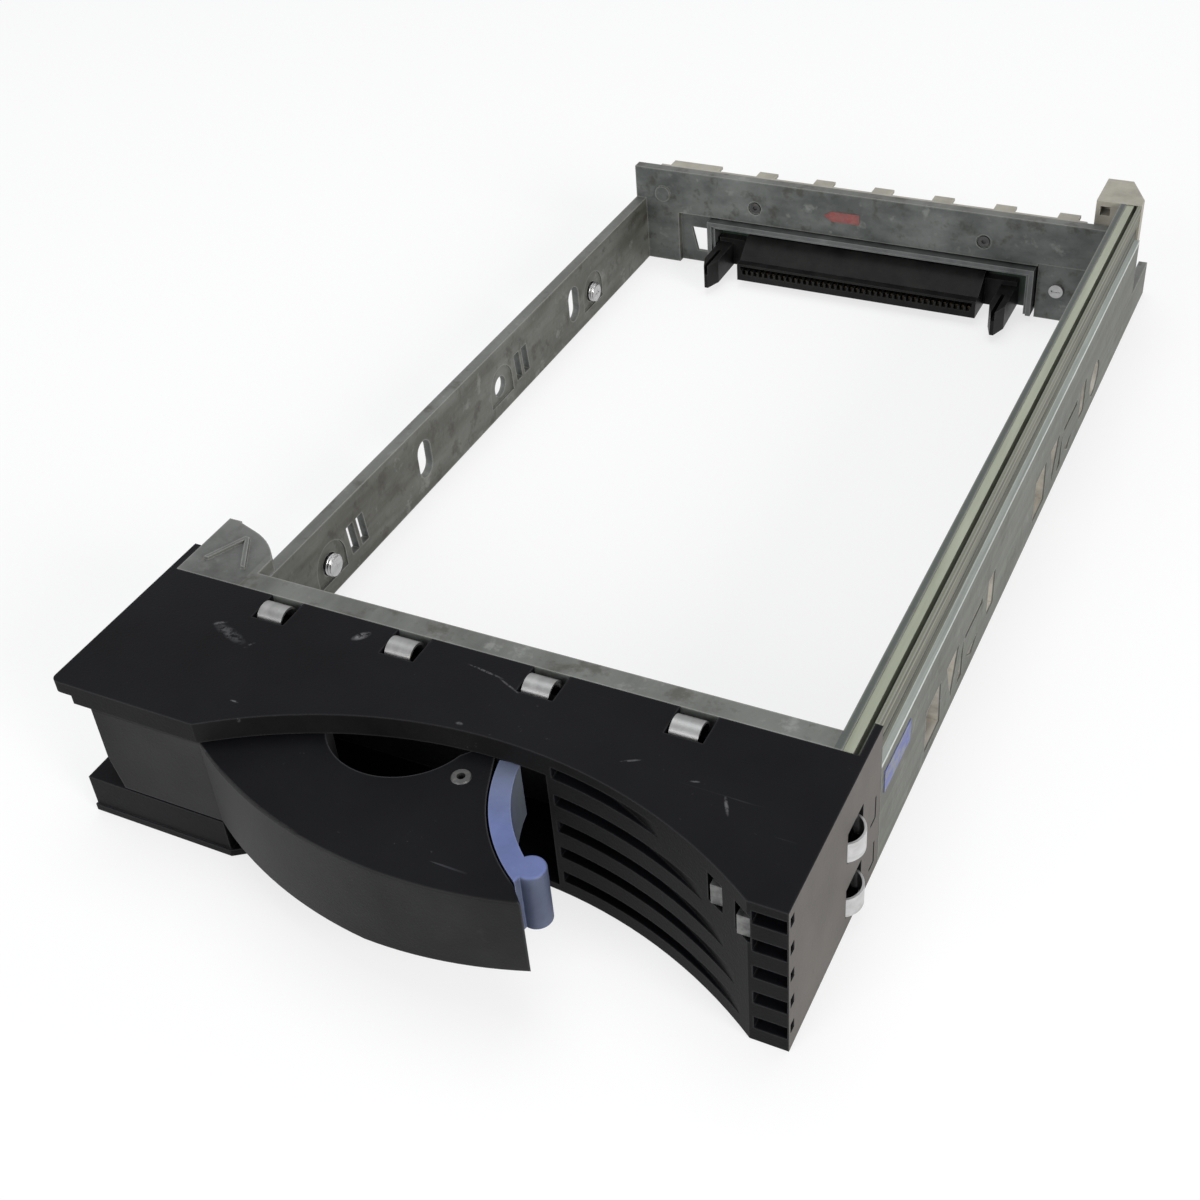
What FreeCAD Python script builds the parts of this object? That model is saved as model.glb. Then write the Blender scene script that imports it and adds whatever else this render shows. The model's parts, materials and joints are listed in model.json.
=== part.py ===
"""Hot swap drive caddy: a die-cast tray with a moulded bezel, a swinging handle and its latch.

Frame: +X to the right as seen from the front, +Y from the bezel to the rear connector, +Z up,
origin at the middle of the footprint, on the surface that the caddy lies on. Millimetres.
"""
import FreeCAD, Part
import operator
import os
import Sketcher

doc = FreeCAD.newDocument("drive_caddy")

# ---------------------------------------------------------------- driving dimensions
SIZES = (
    # bezel
    ("bezel_width", 111.0), ("bezel_height", 26.2), ("plate_depth", 27.7), ("side_reach", 34.0),
    ("plate_wall", 2.0), ("lip_height", 3.5), ("lip_width", 2.0), ("floor_wall", 1.2),
    ("back_wall", 1.8), ("side_wall", 1.1), ("corner_round", 1.2), ("edge_round", 0.4),
    ("land_left", 24.9), ("land_right", 5.3), ("scoop_depth", 12.9),
    ("ledge_height", 6.8), ("ledge_depth", 17.0), ("ledge_step", 0.25),
    # louvred front
    ("grille_left", 72.3), ("grille_wall", 4.0), ("groove_pitch", 5.0), ("groove_height", 2.1),
    ("groove_first", 2.4), ("groove_depth", 3.0), ("groove_end", 1.7), ("groove_end_step", 0.9),
    ("notch_left", 0.6), ("notch_right", 0.2), ("notch_height", 2.3), ("vent_slit", 1.2),
    # indicator windows
    ("window_width", 2.5), ("window_bottom", 18.8), ("window_height", 5.0),
    ("window_one", 10.9), ("window_two", 6.15), ("lens_recess", 0.9), ("lens_height", 3.4),
    ("lens_room", 0.5),
    # spring clips
    ("clip_first", 21.4), ("clip_pitch", 22.0), ("clip_width", 4.2), ("clip_slot", 5.6),
    ("clip_run", 5.4), ("clip_gauge", 0.35), ("clip_rise", 0.5), ("clip_depth", 2.6),
    ("side_clip_front", 20.8), ("side_clip_run", 6.0), ("side_clip_low", 2.6),
    ("side_clip_pitch", 10.7), ("side_clip_height", 3.4), ("side_bulge", 1.4),
    ("hook_front", 30.2), ("hook_run", 2.1), ("hook_low", 2.1), ("hook_pitch", 8.7),
    ("hook_height", 4.2), ("hook_line", 0.4),
    # handle
    ("hub_inset", 10.0), ("hub_setback", 6.0), ("hub_radius", 5.7), ("hub_pin_radius", 1.5),
    ("handle_bulge", 10.3), ("handle_apex", 36.6), ("handle_tip", 18.0), ("handle_wall", 2.2),
    ("handle_top", 2.1), ("swing_gap", 0.3), ("running_gap", 0.05),
    ("finger_radius", 11.0), ("finger_x", 49.2), ("finger_y", 15.0), ("finger_wall", 1.8),
    ("toe_reach", 9.5), ("toe_height", 6.0), ("end_bevel", 1.6), ("end_lean", 3.0),
    ("tip_lift", 2.5), ("tip_run", 24.0), ("corner_bare", 3.2),
    # latch
    ("latch_curve", 26.6), ("latch_x", 91.4), ("latch_y", 17.3), ("latch_band", 2.9),
    ("latch_slit", 0.3), ("latch_height", 9.4), ("latch_arm", 3.6), ("latch_root", 9.9),
    ("pad_radius", 2.1), ("pad_x", 77.8), ("pad_y", 2.1), ("rivet_x", 61.9), ("rivet_y", 8.3),
    ("rivet_radius", 1.2), ("rivet_bore", 0.6), ("rivet_flare", 1.45), ("boss_radius", 3.0),
    # tray
    ("bay_left", 5.0), ("right_rail", 4.5), ("bay_rear", 188.5), ("cross_depth", 3.6),
    ("cross_web", 2.0), ("cross_flange", 1.5), ("left_height", 14.3), ("left_wall", 1.5),
    ("rim_out", 0.8), ("rim_height", 1.4), ("right_height", 26.2), ("ledge_top", 19.0),
    ("web_step", 22.6), ("web_groove", 1.5), ("pipe_lip", 1.1), ("pipe_slot", 2.2),
    ("outer_lip", 0.6),
    ("slot_floor", 23.0), ("tail_end", 206.0), ("tail_height", 7.0), ("rail_end", 191.5),
    ("rear_height", 21.5), ("rear_wall", 2.2), ("port_room_left", 4.2), ("port_room_right", 5.5),
    ("port_height", 11.8),
    ("peep_inset", 1.2), ("peep_width", 3.6), ("peep_low", 2.6), ("peep_height", 5.6),
    ("peep_lean", 1.3),
    ("ear_depth", 41.5), ("ear_width", 12.6), ("ear_plate", 2.2), ("ear_rib", 0.5),
    # drive screws
    ("screw_front", 58.6), ("screw_span", 101.6), ("screw_height", 5.6),
    ("screw_radius", 1.75), ("screw_room", 0.35), ("sunk_screw_radius", 1.55), ("screw_neck", 1.2),
    ("screw_head", 3.2), ("screw_head_depth", 1.4), ("screw_tip", 1.0),
    # rail windows
    ("spare_pitch", 61.0), ("eye_offset", 31.8), ("eye_width", 4.4), ("eye_height", 7.6),
    ("slash_offset", 5.5), ("slash_width", 2.1), ("slash_gap", 1.0), ("slash_lean", 0.6), ("slash_height", 6.0),
    ("slash_low", 3.4), ("arch_radius", 4.3), ("arch_low", 2.6), ("arch_depth", 0.4),
    ("pocket_low", 2.0), ("pocket_high", 10.4), ("pocket_depth", 3.0),
    # light pipes and their holder
    ("rod_gap", 0.1), ("rod_height", 1.1), ("rod_width", 1.4), ("holder_reach", 10.3),
    ("holder_height", 10.2), ("holder_left", 9.2), ("cell_size", 1.9), ("cell_inset", 0.9), ("cell_low", 2.4),
    ("cell_pitch", 4.8), ("holder_back", 5.0), ("rod_socket", 1.0),
    # rear connector
    ("board_left", 0.935), ("board_right", 4.0), ("board_height", 18.6), ("board_gauge", 1.6),
    ("bracket_wall", 1.0), ("bracket_step", 0.6), ("bracket_reach", 1.8),
    ("port_gap", 0.3), ("mouth_end", 1.6), ("mouth_reach", 8.7), ("mouth_low", 1.4),
    ("mouth_face", 3.8), ("mouth_slope", 4.6), ("contact_pitch", 1.27), ("contact_rows", 40),
    ("contact_width", 0.5), ("slot_width", 0.85), ("slot_height", 1.9), ("slot_depth", 2.6),
    ("post_offset", 5.0), ("post_width", 3.2), ("post_reach", 14.2), ("post_height", 5.2),
    ("plug_end", 2.6), ("plug_reach", 11.0), ("plug_height", 7.4), ("plug_wall", 1.3),
    ("tongue_height", 2.2), ("tongue_reach", 8.0),
    ("rivet_left", 30.8), ("rivet_right", 30.1), ("rivet_height", 15.4), ("board_rivet", 0.8),
    ("rivet_rim", 0.35), ("rivet_sink", 0.5), ("rivet_room", 0.35),
    ("lock_screw_x", 4.135), ("lock_screw_z", 6.9), ("lock_screw_radius", 0.9),
    ("lock_screw_head", 1.45),
    # strips and patches
    ("strip_left", 8.0), ("strip_right", 10.4), ("strip_gauge", 0.6),
    ("tab_first", 19.3), ("tab_last", 14.3), ("tab_width", 4.2), ("tab_reach", 3.0),
    ("patch_gauge", 0.12), ("label_length", 11.2), ("label_low", 12.5), ("label_height", 4.0),
)

sheet = doc.addObject("Spreadsheet::Sheet", "Sheet")
for row, (alias, value) in enumerate(SIZES, start=1):
    sheet.set(f"A{row}", alias)
    sheet.set(f"B{row}", str(value))
    sheet.setAlias(f"B{row}", alias)
doc.recompute()

OPERATORS = {"+": operator.add, "-": operator.sub, "*": operator.mul, "/": operator.truediv}


class Size:
    """A length as FreeCAD expression text, with its present value for first sketch positions."""

    def __init__(self, text, value):
        self.text = text
        self.value = value

    def join(self, sign, other, swapped=False):
        other = as_size(other)
        first, second = (other, self) if swapped else (self, other)
        return Size(f"({first.text} {sign} {second.text})",
                    OPERATORS[sign](first.value, second.value))

    def __add__(self, other):
        return self.join("+", other)

    def __radd__(self, other):
        return self.join("+", other, swapped=True)

    def __sub__(self, other):
        return self.join("-", other)

    def __rsub__(self, other):
        return self.join("-", other, swapped=True)

    def __mul__(self, other):
        return self.join("*", other)

    def __rmul__(self, other):
        return self.join("*", other, swapped=True)

    def __truediv__(self, other):
        return self.join("/", other)

    def __neg__(self):
        return 0 - self

    def root(self):
        return Size(f"sqrt({self.text})", self.value ** 0.5)


def as_size(number):
    return number if isinstance(number, Size) else Size(repr(float(number)), float(number))


class Named:
    """The sheet's cells as attributes: d.bezel_width is the size in the cell of that alias."""

    def __init__(self, rows):
        for alias, _ in rows:
            setattr(self, alias, Size(f"Sheet.{alias}", float(sheet.get(alias))))


d = Named(SIZES)

# ---------------------------------------------------------------- shared planes and curves
# The clips on the side wall bulge past it, so the bezel's own middle lies a little left of X = 0.
left = -(d.bezel_width + d.side_bulge) / 2
right = left + d.bezel_width
front = (d.handle_bulge - d.tail_end) / 2      # the flat part of the bezel's front
plate_rear = front + d.plate_depth
cross_rear = plate_rear + d.cross_depth
top = d.bezel_height
lip_bottom = top - d.lip_height

scoop_left = left + d.land_left
scoop_right = right - d.land_right
scoop_mid = (scoop_left + scoop_right) / 2
scoop_half = (scoop_right - scoop_left) / 2
scoop_radius = (scoop_half * scoop_half + d.scoop_depth * d.scoop_depth) / (2 * d.scoop_depth)
scoop_y = front + d.scoop_depth - scoop_radius

bay_left = left + d.bay_left
bay_right = right - d.right_rail
bay_rear = front + d.bay_rear
rear_face = bay_rear + d.rear_wall             # back of the rear cross member

hub_x = left + d.hub_inset
hub_y = front + d.hub_setback
handle_top = lip_bottom - d.swing_gap
handle_bottom = d.ledge_height + d.swing_gap
handle_front = hub_y - d.hub_radius
bulge_x = scoop_left + d.handle_apex
bulge_rise = handle_front - front + d.handle_bulge
bulge_radius = (d.handle_apex * d.handle_apex + bulge_rise * bulge_rise) / (2 * bulge_rise)
bulge_y = handle_front - bulge_rise + bulge_radius

latch_x = left + d.latch_x
latch_y = front + d.latch_y
rivet_x = left + d.rivet_x
rivet_y = front + d.rivet_y
finger_x = left + d.finger_x
finger_y = front + d.finger_y

middle_x = (left + right) / 2                  # the rear connector is centred on the bezel
mouth_half = d.contact_pitch * (d.contact_rows - 1) / 2 + d.mouth_end
post_x = mouth_half + d.post_offset
port_left = middle_x - post_x - d.port_room_left
port_right = middle_x + post_x + d.port_room_right
rivets_x = (left + d.rivet_left, right - d.rivet_right)
lock_x = port_right + d.lock_screw_x
board_left = port_left - d.board_left
board_right = lock_x + d.board_right
windows_x = (right - d.window_one, right - d.window_two)


def scoop_at(x, offset=0):
    """Y of the concave front at x, or of a curve that lies offset behind it."""
    radius = scoop_radius + offset
    return scoop_y + (radius * radius - (x - scoop_mid) * (x - scoop_mid)).root()


def below_circle(x, centre_x, centre_y, radius):
    """Y of a circle's near (low Y) side at x."""
    return centre_y - (radius * radius - (x - centre_x) * (x - centre_x)).root()


# ---------------------------------------------------------------- modelling helpers
def new_body(label, several=False):
    body = doc.addObject("PartDesign::Body", label)
    body.Label = label
    body.AllowCompound = several
    return body


def origin_feature(body, role):
    return next(item for item in body.Origin.OriginFeatures if item.Role == role)


def vector(point):
    return FreeCAD.Vector(point[0].value, point[1].value, 0)


def line_to(x, y):
    return (as_size(x), as_size(y), None, 0)


def arc_to(x, y, radius, side):
    """An arc shorter than a half circle; side is 1 where its centre lies left of its chord."""
    return (as_size(x), as_size(y), as_size(radius), side)


def arc_edge(start, end, radius, side):
    """The first position of an arc from its two ends, radius and side."""
    chord = end - start
    half = chord.Length / 2
    rise = max(radius * radius - half * half, 0.0) ** 0.5
    normal = FreeCAD.Vector(-chord.y, chord.x, 0).normalize() * side
    centre = (start + end) * 0.5 + normal * rise
    middle = centre - normal * radius
    return Part.Arc(start, middle, end)


def box_path(x0, x1, y0, y1):
    return [line_to(x0, y0), line_to(x1, y0), line_to(x1, y1), line_to(x0, y1)]


def hold(sketch, kind, elements, size):
    """Add one dimension to a sketch and tie it to the sheet."""
    index = sketch.addConstraint(Sketcher.Constraint(kind, *elements, size.value))
    sketch.setExpression(f"Constraints[{index}]", size.text)


def hold_point(sketch, edge, end, x, y):
    hold(sketch, "DistanceX", (-1, 1, edge, end), x)
    hold(sketch, "DistanceY", (-1, 1, edge, end), y)


def draw_loop(sketch, steps):
    """Draw a closed outline of line_to and arc_to steps; the first step closes it."""
    count = len(steps)
    first_edge = sketch.GeometryCount
    for index, (x, y, radius, side) in enumerate(steps):
        start = vector(steps[index - 1])
        end = vector((x, y))
        if radius is None:
            sketch.addGeometry(Part.LineSegment(start, end), False)
        else:
            sketch.addGeometry(arc_edge(start, end, radius.value, side), False)
    for index, (x, y, radius, side) in enumerate(steps):
        edge = first_edge + index
        following = first_edge + (index + 1) % count
        # an arc runs anticlockwise in a sketch, so its ends swap where it was drawn clockwise
        end = end_of(side, last=True)
        sketch.addConstraint(Sketcher.Constraint(
            "Coincident", edge, end, following, end_of(steps[(index + 1) % count][3], last=False)))
        hold_point(sketch, edge, end, x, y)
        if radius is not None:
            hold(sketch, "Radius", (edge,), radius)


def end_of(side, last):
    if side < 0:
        return 1 if last else 2
    return 2 if last else 1


def draw_circle(sketch, x, y, radius):
    x, y, radius = as_size(x), as_size(y), as_size(radius)
    centre = FreeCAD.Vector(x.value, y.value, 0)
    edge = sketch.addGeometry(
        Part.Circle(centre, FreeCAD.Vector(0, 0, 1), radius.value), False)
    hold_point(sketch, edge, 3, x, y)
    hold(sketch, "Radius", (edge,), radius)


def new_sketch(body, name, plane, lift, loops):
    """A sketch on a plane of the body's origin, moved along that plane's normal by lift."""
    sketch = body.newObject("Sketcher::SketchObject", name)
    sketch.AttachmentSupport = [(origin_feature(body, plane + "_Plane"), "")]
    sketch.MapMode = "FlatFace"
    sketch.setExpression("AttachmentOffset.Base.z", lift.text)
    for loop in loops:
        if isinstance(loop, tuple):
            draw_circle(sketch, *loop)
        else:
            draw_loop(sketch, loop)
    return sketch


def extrude(body, kind, name, plane, low, high, loops):
    """Pad or Pocket the loops from low to high along the axis that the plane faces.

    Loops on XY are (x, y), on XZ (x, z) and on YZ (y, z). The XZ plane faces -Y.
    """
    low, high = as_size(low), as_size(high)
    facing_back = plane == "XZ"
    sketch = new_sketch(body, name + "_sketch", plane, -low if facing_back else low, loops)
    feature = body.newObject("PartDesign::" + kind, name)
    feature.Profile = sketch
    feature.setExpression("Length", (high - low).text)
    feature.Reversed = facing_back == (kind == "Pad")
    sketch.Visibility = False
    body.Tip = feature
    return feature


def pad(body, name, plane, low, high, *loops):
    return extrude(body, "Pad", name, plane, low, high, loops)


def pocket(body, name, plane, low, high, *loops):
    return extrude(body, "Pocket", name, plane, low, high, loops)


def repeat(body, name, feature, role, length, copies):
    """Repeat a feature along an origin axis, the last copy lying length away."""
    doc.recompute()
    pattern = body.newObject("PartDesign::LinearPattern", name)
    pattern.Originals = [feature]
    pattern.Direction = (origin_feature(body, role), [""])
    pattern.setExpression("Length", as_size(length).text)
    pattern.Occurrences = int(copies)
    body.Tip = pattern
    return pattern


def turn(body, name, x, y, steps):
    """Revolve an outline of (radius, z) steps about the vertical axis through x, y."""
    sketch = new_sketch(body, name + "_sketch", "XZ", as_size(0), [steps])
    feature = body.newObject("PartDesign::Revolution", name)
    feature.Profile = sketch
    feature.ReferenceAxis = (origin_feature(body, "Z_Axis"), [""])
    feature.Angle = 360
    body.Tip = feature
    body.setExpression("Placement.Base.x", as_size(x).text)
    body.setExpression("Placement.Base.y", as_size(y).text)
    return feature


def turned_steps(*corners):
    return [line_to(radius, height) for radius, height in corners]


def soften(body, name, size, wanted):
    """Round the edges of the body's shape that wanted picks."""
    doc.recompute()
    base = body.Tip
    chosen = [f"Edge{index}" for index, edge in enumerate(base.Shape.Edges, start=1)
              if wanted(edge)]
    feature = body.newObject("PartDesign::Fillet", name)
    feature.Base = (base, chosen)
    feature.setExpression("Radius", size.text)
    body.Tip = feature
    return feature


def near(first, second):
    return abs(first - second) < 0.001


def is_upright(edge, x, y):
    """Whether an edge stands on x, y."""
    return all(near(v.X, x.value) and near(v.Y, y.value) for v in edge.Vertexes)


# ---------------------------------------------------------------- bezel
def scooped_front():
    """The bezel's front outline from left to right: flat, concave, flat."""
    return [line_to(left, front), line_to(scoop_left, front),
            arc_to(scoop_right, front, scoop_radius, -1), line_to(right, front)]


def make_bezel():
    body = new_body("bezel")
    wall_left = left + d.side_wall
    wall_right = right - d.side_wall
    side_rear = front + d.side_reach
    back_front = plate_rear - d.back_wall
    grille = left + d.grille_left
    grille_inner = grille + d.back_wall
    lip_y = front + d.lip_width
    lip_x = left + d.lip_width

    pad(body, "top_plate", "XY", lip_bottom, top, scooped_front() + [
        line_to(right, side_rear), line_to(wall_right, side_rear), line_to(wall_right, plate_rear),
        line_to(wall_left, plate_rear), line_to(wall_left, side_rear), line_to(left, side_rear)])
    pocket(body, "plate_relief", "XY", lip_bottom, top - d.plate_wall, [
        line_to(lip_x, lip_y), line_to(scoop_left, lip_y),
        line_to(scoop_left, scoop_at(scoop_left, d.lip_width)),
        arc_to(grille, scoop_at(grille, d.lip_width), scoop_radius + d.lip_width, -1),
        line_to(grille, back_front), line_to(lip_x, back_front)])
    pocket(body, "pipe_relief", "XY", lip_bottom, top - d.plate_wall, [
        line_to(grille_inner, scoop_at(grille_inner, d.grille_wall)),
        arc_to(scoop_right, scoop_at(scoop_right, d.grille_wall),
               scoop_radius + d.grille_wall, -1),
        line_to(wall_right, front + d.grille_wall), line_to(wall_right, plate_rear),
        line_to(bay_right, plate_rear), line_to(bay_right, back_front),
        line_to(grille_inner, back_front)])

    pocket(body, "corner_relief", "XY", lip_bottom, top - d.plate_wall, box_path(
        left - d.lip_width, left + d.corner_bare, front - d.lip_width, front + 2 * d.lip_width))
    soften(body, "front_corner", d.corner_round,
           lambda edge: is_upright(edge, left, front))
    pad(body, "back_wall", "XY", 0, lip_bottom, box_path(left, right, back_front, plate_rear))
    pad(body, "floor", "XY", 0, d.floor_wall, scooped_front() + [
        line_to(right, plate_rear), line_to(left, plate_rear)])
    pad(body, "ledge", "XY", 0, d.ledge_height, box_path(
        left + d.ledge_step, scoop_left, front + d.ledge_step, front + d.ledge_depth))
    pad(body, "left_side", "XY", 0, top, box_path(
        left, wall_left, front + d.ledge_depth, side_rear))
    pad(body, "right_side", "XY", 0, top, box_path(wall_right, right, front, side_rear))

    louvre_wall = [
        line_to(grille, scoop_at(grille)),
        arc_to(scoop_right, front, scoop_radius, -1), line_to(right, front),
        line_to(right, front + d.grille_wall), line_to(wall_right, front + d.grille_wall),
        line_to(scoop_right, scoop_at(scoop_right, d.grille_wall)),
        arc_to(grille, scoop_at(grille, d.grille_wall), scoop_radius + d.grille_wall, 1)]
    pad(body, "louvre_wall", "XY", 0, lip_bottom, louvre_wall)
    pad(body, "grille_end", "XY", 0, lip_bottom, box_path(
        grille, grille_inner, scoop_at(grille), back_front))

    # each groove is deepest beside the handle and runs out of the curve towards the windows
    start = grille + d.back_wall / 2
    for index in range(5):
        low = d.groove_first + index * d.groove_pitch
        end = scoop_right - d.groove_end - d.groove_end_step * (2 ** index - 1)
        pocket(body, f"groove_{index + 1}", "XY", low, low + d.groove_height, [
            arc_to(start, scoop_at(start, d.groove_depth), scoop_radius, 1),
            line_to(start, scoop_at(start) - d.lip_width),
            line_to(end, scoop_at(end) - d.lip_width), line_to(end, scoop_at(end))])
    notch_high = d.groove_first + d.notch_height
    notch = pocket(body, "corner_notch", "XY", d.groove_first, notch_high,
                   box_path(scoop_right + d.notch_left, right - d.notch_right,
                            front - d.lip_width, front + d.groove_depth))
    repeat(body, "corner_notches", notch, "Z_Axis", d.groove_pitch * 4, 5)
    slit = pocket(body, "side_slit", "XY", d.groove_first + d.vent_slit / 2, notch_high,
                  box_path(right - 2 * d.notch_left, right + d.notch_left,
                           front + d.notch_left, front + d.notch_left + d.vent_slit))
    repeat(body, "side_slits", slit, "Z_Axis", d.groove_pitch * 4, 5)

    for name, middle in zip(("window_a", "window_b"), windows_x):
        pocket(body, name, "XZ", front - d.lip_width, front + 3 * d.grille_wall, box_path(
            middle - d.window_width / 2, middle + d.window_width / 2,
            d.window_bottom, d.window_bottom + d.window_height))

    slot_left = left + d.clip_first - d.clip_width / 2 - d.swing_gap
    clip_slot = pocket(body, "clip_slot", "XY", top - d.clip_depth, top + d.clip_rise, box_path(
        slot_left, slot_left + d.clip_slot, plate_rear - d.clip_run, plate_rear))
    repeat(body, "clip_slots", clip_slot, "X_Axis", d.clip_pitch * 3, 4)
    side_slot = pocket(body, "side_slot", "YZ", right - d.side_wall, right, box_path(
        front + d.side_clip_front, front + d.side_clip_front + d.side_clip_run,
        d.side_clip_low, d.side_clip_low + d.side_clip_height + d.clip_width / 2))
    repeat(body, "side_slots", side_slot, "Z_Axis", d.side_clip_pitch, 2)

    # two hooked lines behind the clips
    hook_front = front + d.hook_front
    hook_rear = hook_front + d.hook_run
    hook_top = d.hook_low + d.hook_height
    hook = pocket(body, "hook", "YZ", right - d.hook_line, right, [
        line_to(hook_front, d.hook_low), line_to(hook_rear, d.hook_low),
        line_to(hook_rear, hook_top), line_to(hook_rear - d.hook_line, hook_top),
        line_to(hook_rear - d.hook_line, d.hook_low + d.hook_line),
        line_to(hook_front, d.hook_low + d.hook_line)])
    repeat(body, "hooks", hook, "Z_Axis", d.hook_pitch, 2)

    pocket(body, "hub_seat", "XY", d.ledge_height / 2, top - d.plate_wall / 2,
           (hub_x, hub_y, d.hub_pin_radius + d.running_gap / 2))
    return body


# ---------------------------------------------------------------- spring clips
def make_top_clip(index):
    body = new_body(f"top_clip_{index + 1}")
    middle = left + d.clip_first + index * d.clip_pitch
    foot = top - d.clip_depth
    y_front = plate_rear - d.clip_run
    knee = d.clip_gauge * 2
    half = d.clip_run / 2 - knee
    rise = d.clip_rise + knee
    outer = (half * half + rise * rise) / (2 * rise)
    crown_y = plate_rear - d.clip_run / 2
    low = top - knee
    inner_rise = rise - d.clip_gauge
    inner_half = half - d.clip_gauge
    inner = (inner_half * inner_half + inner_rise * inner_rise) / (2 * inner_rise)
    pad(body, "strip", "YZ", middle - d.clip_width / 2, middle + d.clip_width / 2, [
        line_to(y_front + knee / 2, foot), line_to(y_front + knee / 2 + d.clip_gauge, foot),
        line_to(crown_y - inner_half, low), arc_to(crown_y + inner_half, low, inner, -1),
        line_to(plate_rear - knee / 2 - d.clip_gauge, foot),
        line_to(plate_rear - knee / 2, foot),
        line_to(crown_y + half, low), arc_to(crown_y - half, low, outer, 1)])
    return body


def make_side_clip(index):
    body = new_body(f"side_clip_{index + 1}")
    low = d.side_clip_low + index * d.side_clip_pitch
    y_front = front + d.side_clip_front + d.rod_gap
    y_rear = front + d.side_clip_front + d.side_clip_run - d.rod_gap
    wall = right - d.side_wall
    knee = right - d.clip_gauge
    span = (y_rear - y_front) / 2
    rise = d.side_bulge + d.clip_gauge
    outer = (span * span + rise * rise) / (2 * rise)
    inner_span = span - d.clip_gauge
    inner_rise = rise - d.clip_gauge
    inner = (inner_span * inner_span + inner_rise * inner_rise) / (2 * inner_rise)
    pad(body, "strip", "XY", low, low + d.side_clip_height, [
        line_to(wall, y_front), line_to(knee, y_front), arc_to(knee, y_rear, outer, 1),
        line_to(wall, y_rear), line_to(wall, y_rear - d.clip_gauge),
        line_to(knee, y_rear - d.clip_gauge),
        arc_to(knee, y_front + d.clip_gauge, inner, -1), line_to(wall, y_front + d.clip_gauge)])
    return body


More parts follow.
